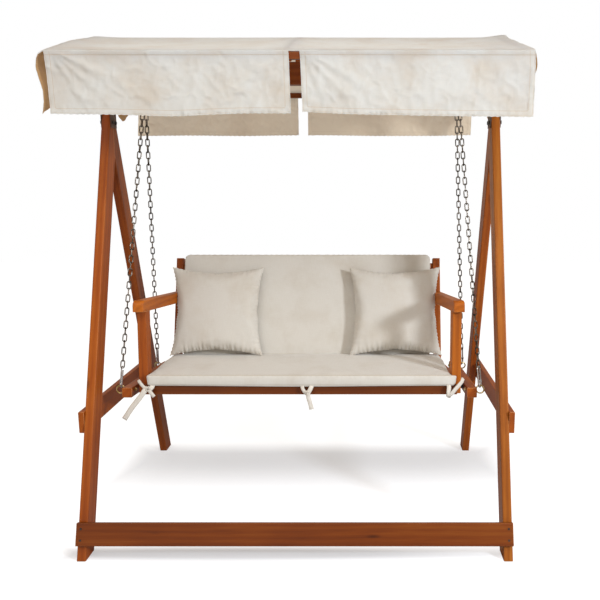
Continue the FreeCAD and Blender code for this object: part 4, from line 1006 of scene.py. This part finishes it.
# %% One stuffed pillow
PILLOW_FLAT = 0.42
PILLOW_CELLS = 60
bpy.ops.mesh.primitive_grid_add(x_subdivisions=PILLOW_CELLS, y_subdivisions=PILLOW_CELLS, size=PILLOW_FLAT)
pillow = bpy.context.active_object
pillow.name = "pillow_cover_left"
thicken(pillow, 0.012, 0)
co = places(pillow)
for axis in (0, 1):
    seam_attribute(pillow.data, f"flat_{axis}", co[:, axis])
co[:, 2] *= np.clip((PILLOW_FLAT / 2 - np.abs(co[:, :2]).max(axis=1)) / 0.02, 0.2, 1)
put(pillow, co)
print("pillow swells by", round(1000 * swell(pillow, 2.0, 0.30, 27), 1), "mm")
even_out(pillow, co)
co = refine(pillow, 2)
waist = 2 * co[np.abs(co[:, 1]) < 0.01, 0].max()
print("pillow box", (co.max(0) - co.min(0)).round(3), "and at its middle", round(waist, 3))

# %% Gathers and corners of the pillow
PILLOW_SIZE = (0.400, 0.388, 0.106)
flat = np.hstack([read(pillow.data.attributes[f"flat_{axis}"].data, "value", 1) for axis in (0, 1)])
gap = PILLOW_FLAT / 2 - np.abs(flat)
co -= (co.max(0) + co.min(0)) / 2
co *= np.array(PILLOW_SIZE) / (co.max(0) - co.min(0))
co[:, :2] += 0.32 * (flat * np.array(PILLOW_SIZE[:2]) / PILLOW_FLAT - co[:, :2])
put(pillow, co)
look = normals(pillow)
for axis in (0, 1):
    along, off = flat[:, 1 - axis], gap[:, axis]
    fade = soft_step(off / 0.006) * soft_step(gap[:, 1 - axis] / 0.06)
    deep = np.where((axis == 1) & (flat[:, 1] < 0), 1.15, 0.35)
    side = np.sign(flat[:, axis])
    gather = pucker(along + 0.4 * side, off, 0.019, 0.034, 3.0 + axis)
    gather += 0.6 * pucker(along + 0.7 * side, off, 0.034, 0.055, 5.0 + axis)
    co += look * (0.0022 * deep * fade * gather)[:, None]
    frill = 0.0022 * pucker(along, off, 0.0150, 0.008, 7.0 + axis)
    co[:, 2] += frill
    co[:, axis] += side * 0.5 * frill
ear = np.exp(-(np.hypot(gap[:, 0], gap[:, 1]) / 0.026) ** 1.5)
co[:, :2] += np.sign(flat) * (0.009 * ear)[:, None]
put(pillow, co)
seam_attribute(pillow.data, "welt", gap.min(axis=1))
print("pillow with its ears:", (co.max(0) - co.min(0)).round(3))

# %% Pillows against the back cushion
pillow_cloth = woven_cloth(
    "cream_pillow", srgb(207, 204, 197), srgb(186, 174, 157), 0.0010, (("welt", 0.006, 0.5),), slub=0.7,
)
twin = pillow.copy()
twin.data = pillow.data.copy()
twin.name = "pillow_cover_right"
link(twin)
STAND = Matrix.Rotation(math.radians(90), 4, "X")
for piece, middle, lean in ((pillow, -0.404, 0.0), (twin, 0.405, -0.3)):
    node_name = "pillow_left" if middle < 0 else "pillow_right"
    if middle > 0:
        piece.data.transform(Matrix.Diagonal((-1, 1, 1, 1)))
        piece.data.flip_normals()
    piece.data.transform(STAND)
    piece.data.transform(Matrix.Rotation(math.radians(lean), 4, "Y"))
    co = places(piece)
    co[:, 1] = np.where(co[:, 1] > 0.030, 0.030 + 0.35 * (co[:, 1] - 0.030), co[:, 1])
    co[:, 1] += -0.0505 - co[:, 1].max()
    co[:, 0] += middle
    co[:, 2] += 0.0455 - co[:, 2].min()
    put(piece, co)
    finish_pad(piece, pillow_cloth, BACK_PLACE, node_name)
print("two pillows")

# %% [markdown]
# ## Ties
# Three pairs of cotton ties hold the seat cushion to the front rail. Each is a flat band that
# follows a smooth line, so it is swept as a ribbon: points along the line, and a direction
# for its width at each of them.


# %% Ribbons
def smooth_line(points, steps=10):
    """Passes through every point, with rounded corners."""
    points = [Vector(p) for p in points]
    ends = [2 * points[0] - points[1], *points, 2 * points[-1] - points[-2]]
    line = []
    for k in range(1, len(ends) - 2):
        a, b, c, d = ends[k - 1:k + 3]
        for s in range(steps):
            t = s / steps
            curve = 2 * b + (c - a) * t + (2 * a - 5 * b + 4 * c - d) * t * t
            line.append(0.5 * (curve + (3 * b - a - 3 * c + d) * t ** 3))
    return line + [points[-1]]


def add_band(sheet, run, cells, width, place):
    """The panel of a band. run says how far along it each row of points lies."""
    sheet.panel(
        [c / cells - 0.5 for c in range(cells + 1)], range(len(run)), place,
        lambda a, k: (a * width, run[k]),
        lambda a, k: (0.5 - abs(a)) * width,
        lambda a, k: 1.0,
    )


def add_ribbon(sheet, points, width, facing, seed):
    """A band along a line. facing is the direction its flat side looks, at its start and end."""
    line = smooth_line(points)
    run = [0.0]
    for a, b in zip(line, line[1:]):
        run.append(run[-1] + (b - a).length)

    def place(a, k):
        forward = (line[min(k + 1, len(line) - 1)] - line[max(k - 1, 0)]).normalized()
        t = k / (len(line) - 1)
        look = Vector(facing[0]).lerp(Vector(facing[1]), t).normalized()
        side = forward.cross(look).normalized()
        cup = 0.0012 * (1 - (2 * a) ** 2) + 0.0016 * waves(run[k], a, 60, seed)
        return tuple(line[k] + side * a * width + look * cup)
    add_band(sheet, run, 6, width, place)
    return run[-1]


FRONT = (0, -1, 0)
# the width of each band, where its flat side looks at its end, and the points that it passes
BANDS = (
    # left: a band from under the cushion, round a knot, with a long and a short tail
    (0.018, FRONT, [
        (-0.593, -0.226, 0.003), (-0.597, -0.238, -0.008), (-0.607, -0.240, -0.016),
        (-0.615, -0.236, -0.022)]),
    (0.021, FRONT, [
        (-0.615, -0.232, -0.012), (-0.621, -0.244, -0.016), (-0.639, -0.247, -0.042),
        (-0.677, -0.248, -0.090), (-0.708, -0.246, -0.136)]),
    (0.013, FRONT, [(-0.615, -0.240, -0.014), (-0.632, -0.243, 0.002), (-0.649, -0.240, 0.024)]),
    (0.015, FRONT, [(-0.609, -0.241, -0.014), (-0.599, -0.245, -0.026), (-0.586, -0.243, -0.044)]),
    # middle: two bands from the cushion, a knot and one tail
    (0.014, FRONT, [
        (0.010, -0.226, 0.002), (0.014, -0.239, -0.010), (0.022, -0.241, -0.024),
        (0.030, -0.238, -0.034)]),
    (0.017, FRONT, [
        (0.052, -0.226, 0.003), (0.047, -0.240, -0.010), (0.036, -0.243, -0.036),
        (0.044, -0.243, -0.070), (0.050, -0.242, -0.096)]),
    # right: a band that is tied round the foot of the arm post
    (0.017, FRONT, [
        (0.604, -0.226, 0.004), (0.606, -0.240, -0.006), (0.604, -0.244, -0.026),
        (0.607, -0.242, -0.042)]),
    (0.016, (0.5, -1, 0), [
        (0.604, -0.240, -0.040), (0.616, -0.246, -0.030), (0.638, -0.246, -0.004),
        (0.656, -0.241, 0.016), (0.664, -0.232, 0.030)]),
)
tie_bands = Sheet()
length = 0.0
for seed, (width, look, points) in enumerate(BANDS, 1):
    length += add_ribbon(tie_bands, points, width, (FRONT, look), seed)
print("ties:", round(length, 2), "m of band")


# %% Knots
def add_knot(sheet, middle, radius, width, turn, seed):
    """A short loop of band pulled tight around the others."""
    centre = Vector(middle)
    points = []
    for k in range(13):
        a = 2 * math.pi * k / 12
        weave = 0.35 * math.sin(2 * a) * radius - 0.002
        out = Vector((math.cos(a) * radius, weave, math.sin(a) * radius * 0.8))
        points.append(centre + Matrix.Rotation(turn, 3, "Y") @ out)
    line = smooth_line(points, 3)

    def place(a, k):
        look = (line[k] - centre).normalized()
        cup = 0.002 * (1 - (2 * a) ** 2) + 0.001 * waves(a, k, 3, seed)
        return tuple(line[k] + ALONG_Y * a * width + look * cup)
    add_band(sheet, [0.003 * k for k in range(len(line))], 5, width, place)
    return sum((b - a).length for a, b in zip(line, line[1:]))


KNOTS = (
    ((-0.611, -0.238, -0.014), 0.5), ((-0.609, -0.237, -0.012), 1.9),
    ((0.031, -0.237, -0.030), 0.4), ((0.032, -0.236, -0.029), 2.0),
    ((0.605, -0.238, -0.040), 0.2),
)
for spot, turn in KNOTS:
    length += add_knot(tie_bands, spot, 0.008, 0.014, turn, 40 + turn)
ties = bpy.data.objects.new("cushion_tie_bands", tie_bands.mesh("cushion_tie_bands"))
link(ties)
tie_cloth = woven_cloth(
    "tie_cotton", srgb(220, 215, 206), srgb(190, 178, 160), 0.0010, (("edge", 0.0015, 0.4),),
)
ties.data.materials.append(tie_cloth)
thicken(ties, 0.0014, 0)
ties.data.transform(SEAT_PLACE)
bpy.ops.object.shade_smooth()
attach(ties, "seat")
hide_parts("cushion_ties")
print("ties in place,", len(ties.data.polygons), "faces")
